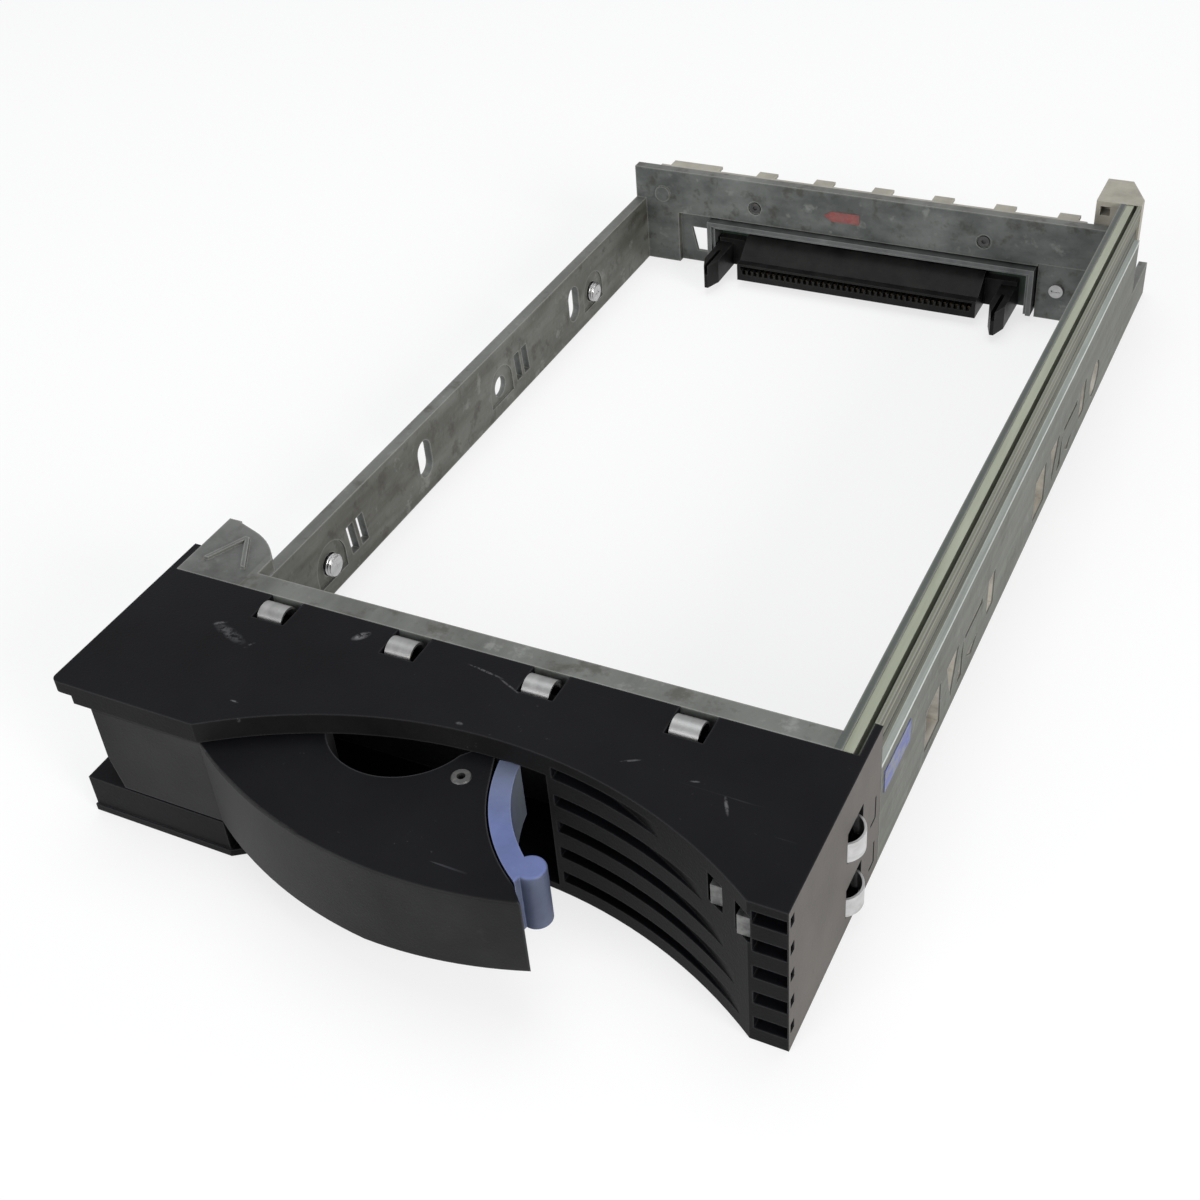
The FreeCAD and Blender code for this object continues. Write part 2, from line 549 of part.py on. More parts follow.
# ---------------------------------------------------------------- handle and latch
def make_handle():
    body = new_body("handle_lever")
    tip_x = bulge_x + d.handle_tip
    end_x = hub_x - d.hub_radius
    slit_radius = d.latch_curve + d.latch_slit
    lug_x = latch_x - slit_radius - d.ear_rib
    slit_end = latch_x - (slit_radius * slit_radius
                          - (latch_y - rivet_y) * (latch_y - rivet_y)).root()
    heel_x = tip_x - d.handle_wall
    hub_rear = hub_y + d.hub_radius
    reach = hub_rear - finger_y
    mouth = (d.finger_radius * d.finger_radius - reach * reach).root()
    lug_rear = hub_rear + d.handle_wall
    pad(body, "block", "XY", handle_bottom, handle_top, [
        line_to(scoop_left, handle_front),
        arc_to(tip_x, below_circle(tip_x, bulge_x, bulge_y, bulge_radius), bulge_radius, 1),
        line_to(heel_x, below_circle(heel_x, latch_x, latch_y, slit_radius)),
        arc_to(slit_end, rivet_y, slit_radius, -1), line_to(lug_x, lug_rear), line_to(finger_x + mouth + d.finger_wall, lug_rear),
        line_to(finger_x + mouth, hub_rear),
        arc_to(finger_x - mouth, hub_rear, d.finger_radius, -1),
        line_to(hub_x, hub_rear),
        arc_to(end_x, hub_y, d.hub_radius, 1),
        line_to(end_x, handle_front + d.end_bevel),
        line_to(end_x + d.end_bevel, handle_front)])
    pocket(body, "leaning_end", "XZ", handle_front, hub_rear, [
        line_to(end_x, handle_bottom), line_to(end_x + d.end_lean, handle_bottom),
        line_to(end_x, handle_top - d.end_lean)])
    pocket(body, "lifted_tip", "XZ", front - d.handle_bulge, lug_rear, [
        line_to(tip_x - d.tip_run, handle_bottom), line_to(tip_x, handle_bottom),
        line_to(tip_x, handle_bottom + d.tip_lift)])
    toe_low = (handle_bottom + handle_top - d.toe_height) / 2
    pad(body, "toe", "XY", toe_low, toe_low + d.toe_height, [
        line_to(hub_x - d.toe_reach, hub_y + d.hub_radius / 3),
        line_to(hub_x - d.hub_radius / 2, hub_y),
        line_to(hub_x - d.hub_radius / 2, hub_y + d.hub_radius * 0.8),
        line_to(hub_x - d.toe_reach, hub_y + d.hub_radius * 0.8)])

    # the moulding is open below: a skirt round the outside, a wall round the finger pocket
    inner_bulge = bulge_radius - d.handle_wall
    slit_wall = slit_radius + d.handle_wall
    start_x = hub_x + d.hub_radius + d.handle_wall
    turn_x = bulge_x + d.handle_tip / 2
    shoulder_x = rivet_x + d.finger_wall
    pocket_wall = d.finger_radius + d.finger_wall
    rear_in = hub_rear - d.finger_wall
    wall_reach = rear_in - finger_y
    wall_half = (pocket_wall * pocket_wall - wall_reach * wall_reach).root()
    neck_x = finger_x + d.finger_radius * 0.72
    pocket(body, "hollow", "XY", handle_bottom, handle_top - d.handle_top, [
        line_to(start_x, handle_front + d.handle_wall),
        line_to(scoop_left + d.handle_wall, handle_front + d.handle_wall),
        line_to(scoop_left + d.handle_wall,
                below_circle(scoop_left + d.handle_wall, bulge_x, bulge_y, inner_bulge)),
        arc_to(turn_x, below_circle(turn_x, bulge_x, bulge_y, inner_bulge), inner_bulge, 1),
        line_to(turn_x, below_circle(turn_x, latch_x, latch_y, slit_wall)),
        arc_to(shoulder_x, below_circle(shoulder_x, latch_x, latch_y, slit_wall), slit_wall, -1),
        line_to(neck_x, below_circle(neck_x, finger_x, finger_y, pocket_wall)),
        arc_to(finger_x - wall_half, rear_in, pocket_wall, -1),
        line_to(start_x, rear_in)])
    pocket(body, "hub_bore", "XY", handle_bottom, handle_top,
           (hub_x, hub_y, d.hub_pin_radius + d.running_gap))
    arm_low = handle_top - d.handle_top - d.latch_arm
    arm_room = d.swing_gap
    pocket(body, "latch_room", "XY", arm_low - arm_room, handle_top - d.handle_top, [
        line_to(rivet_x - d.boss_radius - arm_room, rivet_y - d.boss_radius - 2 * arm_room),
        line_to(latch_x, rivet_y - d.boss_radius - 2 * arm_room),
        line_to(latch_x, lug_rear + arm_room),
        line_to(rivet_x - d.boss_radius - arm_room, lug_rear + arm_room)])
    pocket(body, "rivet_hole", "XY", handle_bottom, handle_top,
           (rivet_x, rivet_y, d.rivet_radius + d.running_gap / 2))
    spring_room = d.boss_radius
    pocket(body, "spring_room", "XY", arm_low - arm_room - 3 * d.rivet_radius, arm_low,
           (rivet_x, rivet_y, spring_room))
    soften(body, "top_edge", d.edge_round, lambda edge: all(
        near(v.Z, handle_top.value) and v.Y < handle_front.value + 0.01 for v in edge.Vertexes))
    return body


def make_latch():
    body = new_body("release_latch")
    inner = d.latch_curve - d.latch_band
    root_x = left + d.latch_x - d.latch_curve + d.pad_radius / 6
    pad_x = left + d.pad_x
    pad_y = front - d.pad_y
    low = handle_top - d.latch_height
    inner_root = root_x + d.latch_band
    pad(body, "band", "XY", low, handle_top, [
        arc_to(inner_root, below_circle(inner_root, latch_x, latch_y, inner), inner, -1),
        line_to(root_x, below_circle(root_x, latch_x, latch_y, d.latch_curve)),
        arc_to(pad_x - d.pad_radius / 3,
               below_circle(pad_x - d.pad_radius / 3, latch_x, latch_y, d.latch_curve),
               d.latch_curve, 1),
        line_to(pad_x, pad_y),
        line_to(pad_x - d.pad_radius / 2,
                below_circle(pad_x - d.pad_radius / 2, latch_x, latch_y, inner))])
    pad(body, "finger_pad", "XY", low, handle_top, (pad_x, pad_y, d.pad_radius))
    arm_low = handle_top - d.handle_top - d.latch_arm
    arm_top = handle_top - d.handle_top - d.swing_gap / 2
    pad(body, "arm", "XY", arm_low, arm_top, box_path(
        rivet_x, root_x + d.latch_band / 2, rivet_y - d.boss_radius / 2, rivet_y + d.boss_radius / 2))
    pad(body, "pivot_boss", "XY", arm_low, arm_top, (rivet_x, rivet_y, d.boss_radius))
    pocket(body, "pivot_bore", "XY", arm_low, arm_top,
           (rivet_x, rivet_y, d.rivet_radius + d.running_gap))
    soften(body, "pad_edge", d.edge_round, lambda edge: len(edge.Vertexes) > 0 and all(
        near(v.Z, handle_top.value) and v.Y < front.value + 0.5 for v in edge.Vertexes))
    return body


def make_hub_pin():
    body = new_body("hub_pin")
    low = d.ledge_height / 2
    high = top - d.plate_wall / 2
    turn(body, "pin", hub_x, hub_y, turned_steps(
        (0, low), (d.hub_pin_radius, low), (d.hub_pin_radius, high), (0, high)))
    return body


def make_latch_rivet():
    body = new_body("latch_rivet")
    low = handle_bottom + d.handle_top
    rim = handle_top + d.swing_gap / 2
    turn(body, "rivet", rivet_x, rivet_y, turned_steps(
        (d.rivet_bore, low), (d.rivet_radius, low), (d.rivet_radius, handle_top),
        (d.rivet_flare, handle_top), (d.rivet_flare - d.swing_gap / 2, rim), (d.rivet_bore, rim)))
    return body


def make_latch_spring():
    """A torsion spring of three touching turns round the rivet."""
    body = new_body("latch_spring")
    wire = d.swing_gap
    coil = d.rivet_radius + 2 * wire
    arm_low = handle_top - d.handle_top - d.latch_arm
    start = arm_low - 3 * d.rivet_radius
    sketch = new_sketch(body, "wire_sketch", "XZ", as_size(0), [(coil, start + wire, wire)])
    helix = body.newObject("PartDesign::AdditiveHelix", "turns")
    helix.Profile = sketch
    helix.ReferenceAxis = (sketch, ["V_Axis"])
    helix.Mode = 0
    helix.setExpression("Pitch", (wire * 2.2).text)
    helix.setExpression("Height", (wire * 6.6).text)
    body.Tip = helix
    body.setExpression("Placement.Base.x", rivet_x.text)
    body.setExpression("Placement.Base.y", rivet_y.text)
    return body


# ---------------------------------------------------------------- die-cast tray
def make_tray():
    body = new_body("tray_frame")
    side_rear = front + d.side_reach + d.rod_gap
    ear_left = left + d.side_wall + d.rod_gap
    slot_left = bay_right + d.pipe_lip
    slot_right = slot_left + d.pipe_slot
    web_out = slot_right + d.outer_lip
    rail_out = bay_left - d.left_wall
    rim_out = rail_out - d.rim_out
    rail_end = front + d.rail_end

    pad(body, "front_cross", "YZ", ear_left, bay_right + d.pipe_lip, [
        line_to(plate_rear, 0), line_to(cross_rear, 0), line_to(cross_rear, d.cross_flange),
        line_to(plate_rear + d.cross_web, d.cross_flange),
        line_to(plate_rear + d.cross_web, top - d.cross_flange),
        line_to(cross_rear, top - d.cross_flange), line_to(cross_rear, top),
        line_to(plate_rear, top)])
    pad(body, "left_rail", "XZ", plate_rear, rear_face, [
        line_to(bay_left, 0), line_to(bay_left, d.left_height), line_to(rim_out, d.left_height),
        line_to(rim_out, d.left_height - d.rim_height),
        line_to(rail_out, d.left_height - d.rim_height), line_to(rail_out, d.rim_height),
        line_to(rim_out, d.rim_height), line_to(rim_out, 0)])
    pad(body, "rail_nose", "XZ", plate_rear, side_rear, [
        line_to(bay_right, 0), line_to(slot_right, 0), line_to(slot_right, d.slot_floor),
        line_to(slot_left, d.slot_floor), line_to(slot_left, top), line_to(bay_right, top)])
    web_face = web_out - d.outer_lip / 2
    groove_low = d.web_step - d.web_groove
    pad(body, "right_rail", "XZ", side_rear, rail_end, [
        line_to(bay_right, 0), line_to(right, 0), line_to(right, d.ledge_top),
        line_to(web_face, d.ledge_top), line_to(web_face, groove_low),
        line_to(web_face - d.outer_lip / 2, groove_low),
        line_to(web_face - d.outer_lip / 2, d.web_step),
        line_to(web_out, d.web_step), line_to(web_out, d.right_height),
        line_to(slot_right, d.right_height), line_to(slot_right, d.slot_floor),
        line_to(slot_left, d.slot_floor), line_to(slot_left, d.right_height),
        line_to(bay_right, d.right_height)])
    pad(body, "tail", "XY", 0, d.tail_height, box_path(
        web_out - d.pipe_lip, right, rail_end, front + d.tail_end))

    port_top = d.port_height
    pad(body, "rear_cross", "XZ", bay_rear, rear_face, [
        line_to(rim_out, 0), line_to(port_left, 0), line_to(port_left, port_top),
        line_to(port_right, port_top), line_to(port_right, 0), line_to(bay_right, 0),
        line_to(bay_right, d.rear_height), line_to(rim_out, d.rear_height)])
    pocket(body, "port_recess", "XZ", bay_rear, bay_rear + d.cross_flange, box_path(
        port_left - 1.6 * d.ledge_height / 1.5, port_left, 0, port_top))
    peep_right = port_left - d.peep_inset
    peep_left = peep_right - d.peep_width
    peep_top = d.peep_low + d.peep_height
    pocket(body, "peep_hole", "XZ", bay_rear, rear_face, [
        line_to(peep_left + d.peep_lean, d.peep_low), line_to(peep_right, d.peep_low),
        line_to(peep_right, peep_top), line_to(peep_left, peep_top)])
    pocket(body, "corner_step", "XZ", bay_rear, bay_rear + d.ear_rib, box_path(
        port_right, bay_right, 0, port_top + d.ear_rib))
    pad(body, "corner_boss", "XZ", bay_rear - d.ear_rib, bay_rear + d.ear_rib,
        (bay_left + d.screw_head * 1.3, d.rear_height * 0.74, d.screw_radius))

    # the ear: a ribbed plate over the left front corner, on a wall down to the rail
    ear_rear = front + d.ear_depth
    ear_right = ear_left + d.ear_width
    pad(body, "ear_wall", "XY", 0, top, box_path(ear_left, rail_out, plate_rear, ear_rear))
    pad(body, "ear_plate", "XY", top - d.ear_plate, top, [
        line_to(ear_left, cross_rear - d.cross_flange),
        line_to(ear_right, cross_rear - d.cross_flange),
        line_to(ear_right, cross_rear + d.cross_depth),
        arc_to(ear_left + d.ear_width * 0.45, ear_rear - d.rim_height,
               d.ear_width, 1),
        line_to(ear_left + d.rim_height, ear_rear), line_to(ear_left, ear_rear)])
    ear_mid = ear_left + d.ear_width * 0.45
    for name, foot in (("ear_rib_a", ear_left + d.ear_width * 0.2),
                       ("ear_rib_b", ear_left + d.ear_width * 0.75)):
        pad(body, name, "XY", top - d.ear_rib, top + d.ear_rib, [
            line_to(foot, cross_rear), line_to(foot + d.rim_out, cross_rear),
            line_to(ear_mid + d.rim_out, ear_rear - d.cross_depth),
            line_to(ear_mid, ear_rear - d.cross_depth)])

    # side holes: the two drive screws, a spare hole, and the openings that repeat along the rail
    screw_y = front + d.screw_front
    hole = d.screw_radius + d.screw_room
    spare_y = screw_y + d.spare_pitch
    rear_y = screw_y + d.screw_span
    pocket(body, "screw_holes", "YZ", rim_out, bay_left, (screw_y, d.screw_height, hole),
           (rear_y, d.screw_height, hole), (spare_y, d.screw_height, hole))
    eye_y = screw_y + d.eye_offset
    eye_half = d.eye_width / 2
    eye_low = (d.left_height - d.eye_height) / 2 + eye_half
    eye_high = (d.left_height + d.eye_height) / 2 - eye_half
    eye = pocket(body, "eye", "YZ", rim_out, bay_left, [
        line_to(eye_y - eye_half, eye_low),
        arc_to(eye_y, eye_low - eye_half, eye_half, 1),
        arc_to(eye_y + eye_half, eye_low, eye_half, 1), line_to(eye_y + eye_half, eye_high),
        arc_to(eye_y, eye_high + eye_half, eye_half, 1),
        arc_to(eye_y - eye_half, eye_high, eye_half, 1)])
    repeat(body, "eyes", eye, "Y_Axis", d.spare_pitch, 2)
    slash_high = d.slash_low + d.slash_height
    slash_y = screw_y + d.slash_offset
    slash = pocket(body, "slash", "YZ", rim_out, bay_left, *[
        [line_to(y, slash_high), line_to(y + d.slash_lean, d.slash_low),
         line_to(y + d.slash_lean + d.slash_width, d.slash_low),
         line_to(y + d.slash_width, slash_high)]
        for y in (slash_y, slash_y + d.slash_width + d.slash_gap)])
    repeat(body, "slashes", slash, "Y_Axis", d.spare_pitch, 2)
    arch_high = d.screw_height + d.running_gap
    arches = []
    for y in (screw_y, spare_y, rear_y):
        arches.append([
            line_to(y - d.arch_radius, d.arch_low), line_to(y + d.arch_radius, d.arch_low),
            line_to(y + d.arch_radius, arch_high),
            arc_to(y, arch_high + d.arch_radius, d.arch_radius, 1),
            arc_to(y - d.arch_radius, arch_high, d.arch_radius, 1)])
    pocket(body, "screw_arches", "YZ", bay_left - d.arch_depth, bay_left, *arches)

    pocket(body, "right_screw_holes", "YZ", bay_right, right,
           (screw_y, d.screw_height, hole), (rear_y, d.screw_height, hole))
    # the pockets outside: one for the screw's head, then three ribs and a slit, then a box
    low, high = d.pocket_low, d.pocket_high
    room = d.screw_head + d.screw_room
    rib_y = screw_y + 2 * d.screw_head
    lean = d.slash_lean
    slit_y = rib_y + 3 * d.screw_head
    box_y = slit_y + 4 * d.screw_head
    third = d.screw_head
    cells = [
        [line_to(screw_y - room, low), line_to(screw_y + room + lean, low),
         line_to(screw_y + room, high), line_to(screw_y - room, high)],
        [line_to(rib_y + third, low), line_to(rib_y + 2 * third, high), line_to(rib_y, high)],
        [line_to(rib_y + 2 * third, low), line_to(rib_y + 3 * third - lean, low),
         line_to(rib_y + 3 * third - lean, high - lean)],
        box_path(slit_y, slit_y + 3 * d.screw_head, high - 3 * lean, high - lean),
        [line_to(slit_y + 1.5 * third, low), line_to(slit_y + 2.5 * third, high - 2 * third),
         line_to(slit_y + third / 2, high - 2 * third)],
        box_path(box_y, box_y + 1.2 * third, low + d.rim_height, high)]
    window = pocket(body, "outer_window", "YZ", right - d.pocket_depth, right, *cells)
    repeat(body, "outer_windows", window, "Y_Axis", d.spare_pitch, 2)
    pocket(body, "rear_head_sink", "YZ", right - d.pocket_depth, right,
           (rear_y, d.screw_height, room))

    for name, x in zip(("rivet_seat_a", "rivet_seat_b"), rivets_x):
        pocket(body, name, "XZ", bay_rear, rear_face,
               (x, d.rivet_height, d.board_rivet + d.running_gap))
        pocket(body, name + "_sink", "XZ", bay_rear, bay_rear + d.rivet_sink,
               (x, d.rivet_height, d.board_rivet + d.rivet_rim + d.rivet_room))
    pocket(body, "lock_seat", "XZ", bay_rear, rear_face,
           (lock_x, d.lock_screw_z, d.lock_screw_radius + d.running_gap))
    return body


# ---------------------------------------------------------------- screws and rivets
def make_drive_screw(index):
    """A pan-head screw through a rail, its tip standing in the bay."""
    body = new_body(f"drive_screw_{index + 1}")
    on_left = index < 2
    y = front + d.screw_front + (index % 2) * d.screw_span
    if on_left:
        seat = bay_left - d.left_wall
        plane = bay_left - d.arch_depth
        spans = ((seat - d.screw_head_depth, seat, d.screw_head), (seat, plane, d.screw_neck),
                 (plane, bay_left + d.screw_tip, d.screw_radius))
    else:
        seat = right - d.pocket_depth
        spans = ((seat, seat + d.screw_head_depth, d.screw_head),
                 (bay_right, seat, d.screw_neck),
                 (bay_right - d.screw_tip, bay_right, d.sunk_screw_radius))
    for name, (low, high, radius) in zip(("head", "neck", "thread"), spans):
        pad(body, name, "YZ", low, high, (y, d.screw_height, radius))
    recess = d.screw_head_depth / 2
    head_low, head_high = spans[0][0], spans[0][1]
    cut = (head_low, head_low + recess) if on_left else (head_high - recess, head_high)
    arm, half = d.screw_head * 0.55, d.screw_head_depth / 4
    pocket(body, "drive_cross", "YZ", *cut, [
        line_to(y - arm, d.screw_height - half), line_to(y - half, d.screw_height - half),
        line_to(y - half, d.screw_height - arm), line_to(y + half, d.screw_height - arm),
        line_to(y + half, d.screw_height - half), line_to(y + arm, d.screw_height - half),
        line_to(y + arm, d.screw_height + half), line_to(y + half, d.screw_height + half),
        line_to(y + half, d.screw_height + arm), line_to(y - half, d.screw_height + arm),
        line_to(y - half, d.screw_height + half), line_to(y - arm, d.screw_height + half)])
    return body


def make_board_rivet(index):
    """A rivet sunk in the cross member that holds the adapter board behind it."""
    body = new_body(f"board_rivet_{index + 1}")
    x = rivets_x[index]
    seat = bay_rear + d.rivet_sink
    board_rear = rear_face + d.board_gauge
    rim = d.board_rivet + d.rivet_rim
    pad(body, "shank", "XZ", seat - d.rivet_rim, board_rear + d.rivet_rim,
        (x, d.rivet_height, d.board_rivet))
    pad(body, "front_rim", "XZ", seat - d.rivet_rim, seat, (x, d.rivet_height, rim))
    pad(body, "rear_rim", "XZ", board_rear, board_rear + d.rivet_rim, (x, d.rivet_height, rim))
    pocket(body, "dimple", "XZ", seat - d.rivet_rim, seat,
           (x, d.rivet_height, d.board_rivet * 0.6))
    return body


def make_lock_screw():
    body = new_body("bracket_screw")
    board_rear = rear_face + d.board_gauge
    seat = bay_rear + d.ear_rib
    depth = d.lock_screw_radius
    pad(body, "shank", "XZ", seat, board_rear, (lock_x, d.lock_screw_z, d.lock_screw_radius))
    pad(body, "head", "XZ", seat - depth, seat, (lock_x, d.lock_screw_z, d.lock_screw_head))
    half = d.lock_screw_radius / 5
    pocket(body, "slot", "XZ", seat - depth, seat - depth / 2,
           box_path(lock_x - d.lock_screw_radius, lock_x + d.lock_screw_radius,
                    d.lock_screw_z - half, d.lock_screw_z + half))
    return body


# ---------------------------------------------------------------- light pipes
def make_pipe(label, slot_x, width, rise, window_x, turn_y):
    """A clear rod: along the rail, under the plate, round to its window."""
    body = new_body(label)
    low = d.slot_floor
    under = top - d.plate_wall - d.rod_gap
    lens_left = window_x - d.window_width / 2 + d.lens_room
    lens_right = window_x + d.window_width / 2 - d.rod_gap
    face = scoop_at(lens_right) + d.lens_recess
    run_y = scoop_at(lens_left, d.grille_wall) + d.rod_gap + width
    pad(body, "rail_run", "XY", low, low + rise, box_path(
        slot_x, slot_x + width, plate_rear + d.rod_gap, front + d.rail_end + d.rod_socket))
    pad(body, "bezel_run", "XY", low, under, [
        line_to(slot_x + width, plate_rear + d.rod_gap), line_to(slot_x, plate_rear + d.rod_gap),
        line_to(slot_x, turn_y), line_to(lens_left, run_y + width),
        line_to(lens_left, run_y - width), line_to(lens_right, run_y - width),
        line_to(lens_right, run_y), line_to(slot_x + width, turn_y - width / 2)])
    lens_low = d.window_bottom + d.rod_gap
    pad(body, "lens_back", "XY", lens_low, under, box_path(
        lens_left, lens_right, run_y - width, run_y + width))
    pad(body, "lens", "XY", lens_low, lens_low + d.lens_height, box_path(
        lens_left, lens_right, face, run_y))
    return body


def make_pipes():
    slot_left = bay_right + d.pipe_lip
    second = d.pipe_slot - d.rod_width - d.rod_gap
    return [
        make_pipe("light_pipe_upper", slot_left, d.rod_width, top - d.slot_floor - 2 * d.rod_gap,
                  windows_x[0], front + 3.6 * d.grille_wall),
        make_pipe("light_pipe_lower", slot_left + d.rod_width + d.rod_gap, second,
                  d.rod_height + d.rod_gap, windows_x[1], front + 2.4 * d.grille_wall)]


def make_holder():
    body = new_body("light_pipe_holder")
    x0 = right - d.holder_left
    y0 = front + d.rail_end
    y1 = y0 + d.holder_reach
    low = top - d.holder_height
    slope_y = y0 + d.holder_reach / 4
    pad(body, "block", "XY", low, top, [
        line_to(x0, y0), line_to(right - d.ear_rib, y0), line_to(right - d.ear_rib, slope_y),
        line_to(x0 + d.holder_back, y1), line_to(x0, y1)])
    cell_left = x0 + d.cell_inset
    cell_right = cell_left + d.cell_size
    for name, base in (("cell_a", low + d.cell_low), ("cell_b", low + d.cell_low + d.cell_pitch)):
        pocket(body, name, "XZ", y0, y0 + d.rod_socket * 3, box_path(
            cell_left, cell_right, base, base + d.cell_size))
    slot_left = bay_right + d.pipe_lip
    pocket(body, "rod_socket", "XZ", y0, y0 + d.rod_socket + d.rod_gap, box_path(
        slot_left - d.rod_gap, slot_left + d.pipe_slot + d.rod_gap,
        d.slot_floor - d.rod_gap, top - d.rod_gap))
    pad(body, "foot", "XY", d.tail_height, low, box_path(
        right - d.holder_back, right - d.ear_rib, y0, y0 + d.holder_reach / 4))
    return body


# ---------------------------------------------------------------- connectors
def make_board():
    body = new_body("adapter_board")
    pad(body, "board", "XZ", rear_face, rear_face + d.board_gauge, box_path(
        board_left, board_right, d.floor_wall, d.board_height))
    for name, x in zip(("hole_a", "hole_b"), rivets_x):
        pocket(body, name, "XZ", rear_face, rear_face + d.board_gauge,
               (x, d.rivet_height, d.board_rivet + d.running_gap))
    pocket(body, "hole_c", "XZ", rear_face, rear_face + d.board_gauge,
           (lock_x, d.lock_screw_z, d.lock_screw_radius + d.running_gap))
    return body


def make_bracket():
    """Two nested frames, open below, that line the port round the connector."""
    body = new_body("connector_bracket")
    x0 = port_left + d.port_gap
    x1 = port_right - d.port_gap
    high = d.port_height - d.port_gap
    low = d.floor_wall
    for name, inset, setback in (("outer", as_size(0), as_size(0)),
                                 ("inner", d.bracket_wall, d.bracket_step)):
        wall = d.bracket_wall if name == "outer" else d.bracket_step
        pad(body, name, "XZ", bay_rear - d.bracket_reach + setback, rear_face, [
            line_to(x0 + inset, low), line_to(x0 + inset + wall, low),
            line_to(x0 + inset + wall, high - inset - wall),
            line_to(x1 - inset - wall, high - inset - wall),
            line_to(x1 - inset - wall, low), line_to(x1 - inset, low),
            line_to(x1 - inset, high - inset), line_to(x0 + inset, high - inset)])
    return body


def contact_start():
    return middle_x - d.contact_pitch * (d.contact_rows - 1) / 2


def make_receptacle():
    body = new_body("drive_receptacle")
    middle = middle_x
    mouth_front = rear_face - d.mouth_reach
    low = d.mouth_low
    high = low + d.mouth_face
    pad(body, "mouth", "YZ", middle - mouth_half, middle + mouth_half, [
        line_to(mouth_front, low), line_to(rear_face, low),
        line_to(rear_face, high + d.mouth_slope * 0.8),
        line_to(rear_face - d.rear_wall, high + d.mouth_slope * 0.8),
        line_to(mouth_front + d.slot_height, high), line_to(mouth_front, high)])
    pad(body, "flange", "XZ", rear_face - d.rear_wall, rear_face, box_path(
        middle - post_x - d.post_width / 2, middle + post_x + d.post_width / 2,
        low, high + d.mouth_slope / 2))
    for name, x in (("post_left", middle - post_x), ("post_right", middle + post_x)):
        half = d.post_width / 2
        taper = half * 0.75
        y0 = rear_face - d.post_reach
        pad(body, name, "XY", low, low + d.post_height, [
            line_to(x - half, rear_face), line_to(x - half, y0 + d.post_width),
            line_to(x - half + taper, y0), line_to(x + half - taper, y0),
            line_to(x + half, y0 + d.post_width), line_to(x + half, rear_face)])
        pocket(body, name + "_groove", "XY", low + d.post_height * 0.6, low + d.post_height,
               box_path(x - half / 4, x + half / 4, y0, rear_face - d.mouth_reach * 0.7))
    start = contact_start()
    slot_low = high - d.slot_height - (d.mouth_face - d.slot_height) / 4
    slot_mid = slot_low + d.slot_height / 2
    pocket(body, "long_slot", "XZ", mouth_front, mouth_front + d.slot_depth, box_path(
        start - d.slot_width, 2 * middle - start + d.slot_width,
        slot_mid, slot_low + d.slot_height))
    slot = pocket(body, "slot", "XZ", mouth_front, mouth_front + d.slot_depth, box_path(
        start - d.slot_width / 2, start + d.slot_width / 2, slot_low, slot_mid))
    repeat(body, "slots", slot, "X_Axis", d.contact_pitch * (d.contact_rows - 1),
           d.contact_rows.value)
    return body


def make_contacts(label, y0, y1, z0, z1):
    """A row of flat contacts, one solid each."""
    body = new_body(label, several=True)
    start = contact_start()
    blade = pad(body, "blade", "XY", z0, z1, box_path(
        start - d.contact_width / 2, start + d.contact_width / 2, y0, y1))
    repeat(body, "blades", blade, "X_Axis", d.contact_pitch * (d.contact_rows - 1),
           d.contact_rows.value)
    return body


def make_receptacle_contacts():
    mouth_front = rear_face - d.mouth_reach
    slot_low = d.mouth_low + d.mouth_face - d.slot_height - (d.mouth_face - d.slot_height) / 4
    return make_contacts("receptacle_contacts", mouth_front + 2 * d.contact_width,
                         mouth_front + d.slot_depth, slot_low, slot_low + d.slot_height / 3)


def make_plug():
    body = new_body("backplane_plug")
    middle = middle_x
    y0 = rear_face + d.board_gauge
    y1 = y0 + d.plug_reach
    low = d.mouth_low
    high = low + d.plug_height
    bevel = d.plug_height / 3
    half = mouth_half + d.plug_end
    pad(body, "shell", "XZ", y0, y1, [
        line_to(middle - half, low), line_to(middle + half, low),
        line_to(middle + half, high - bevel), line_to(middle + half - bevel, high),
        line_to(middle - half + bevel, high), line_to(middle - half, high - bevel)])
    inner = half - d.plug_wall
    pocket(body, "mouth", "XZ", y0 + d.plug_reach - d.tongue_reach, y1, [
        line_to(middle - inner, low + d.plug_wall), line_to(middle + inner, low + d.plug_wall),
        line_to(middle + inner, high - bevel), line_to(middle + inner - bevel, high - d.plug_wall),
        line_to(middle - inner + bevel, high - d.plug_wall), line_to(middle - inner, high - bevel)])
    tongue_low = low + (d.plug_height - d.tongue_height) / 2
    pad(body, "tongue", "XZ", y0, y1 - d.plug_wall, box_path(
        middle - mouth_half, middle + mouth_half, tongue_low, tongue_low + d.tongue_height))
    return body


def make_plug_contacts():
    y0 = rear_face + d.board_gauge
    tongue_top = d.mouth_low + (d.plug_height + d.tongue_height) / 2
    return make_contacts("plug_contacts", y0 + d.plug_reach - d.tongue_reach,
                         y0 + d.plug_reach - 2 * d.plug_wall,
                         tongue_top, tongue_top + d.swing_gap)


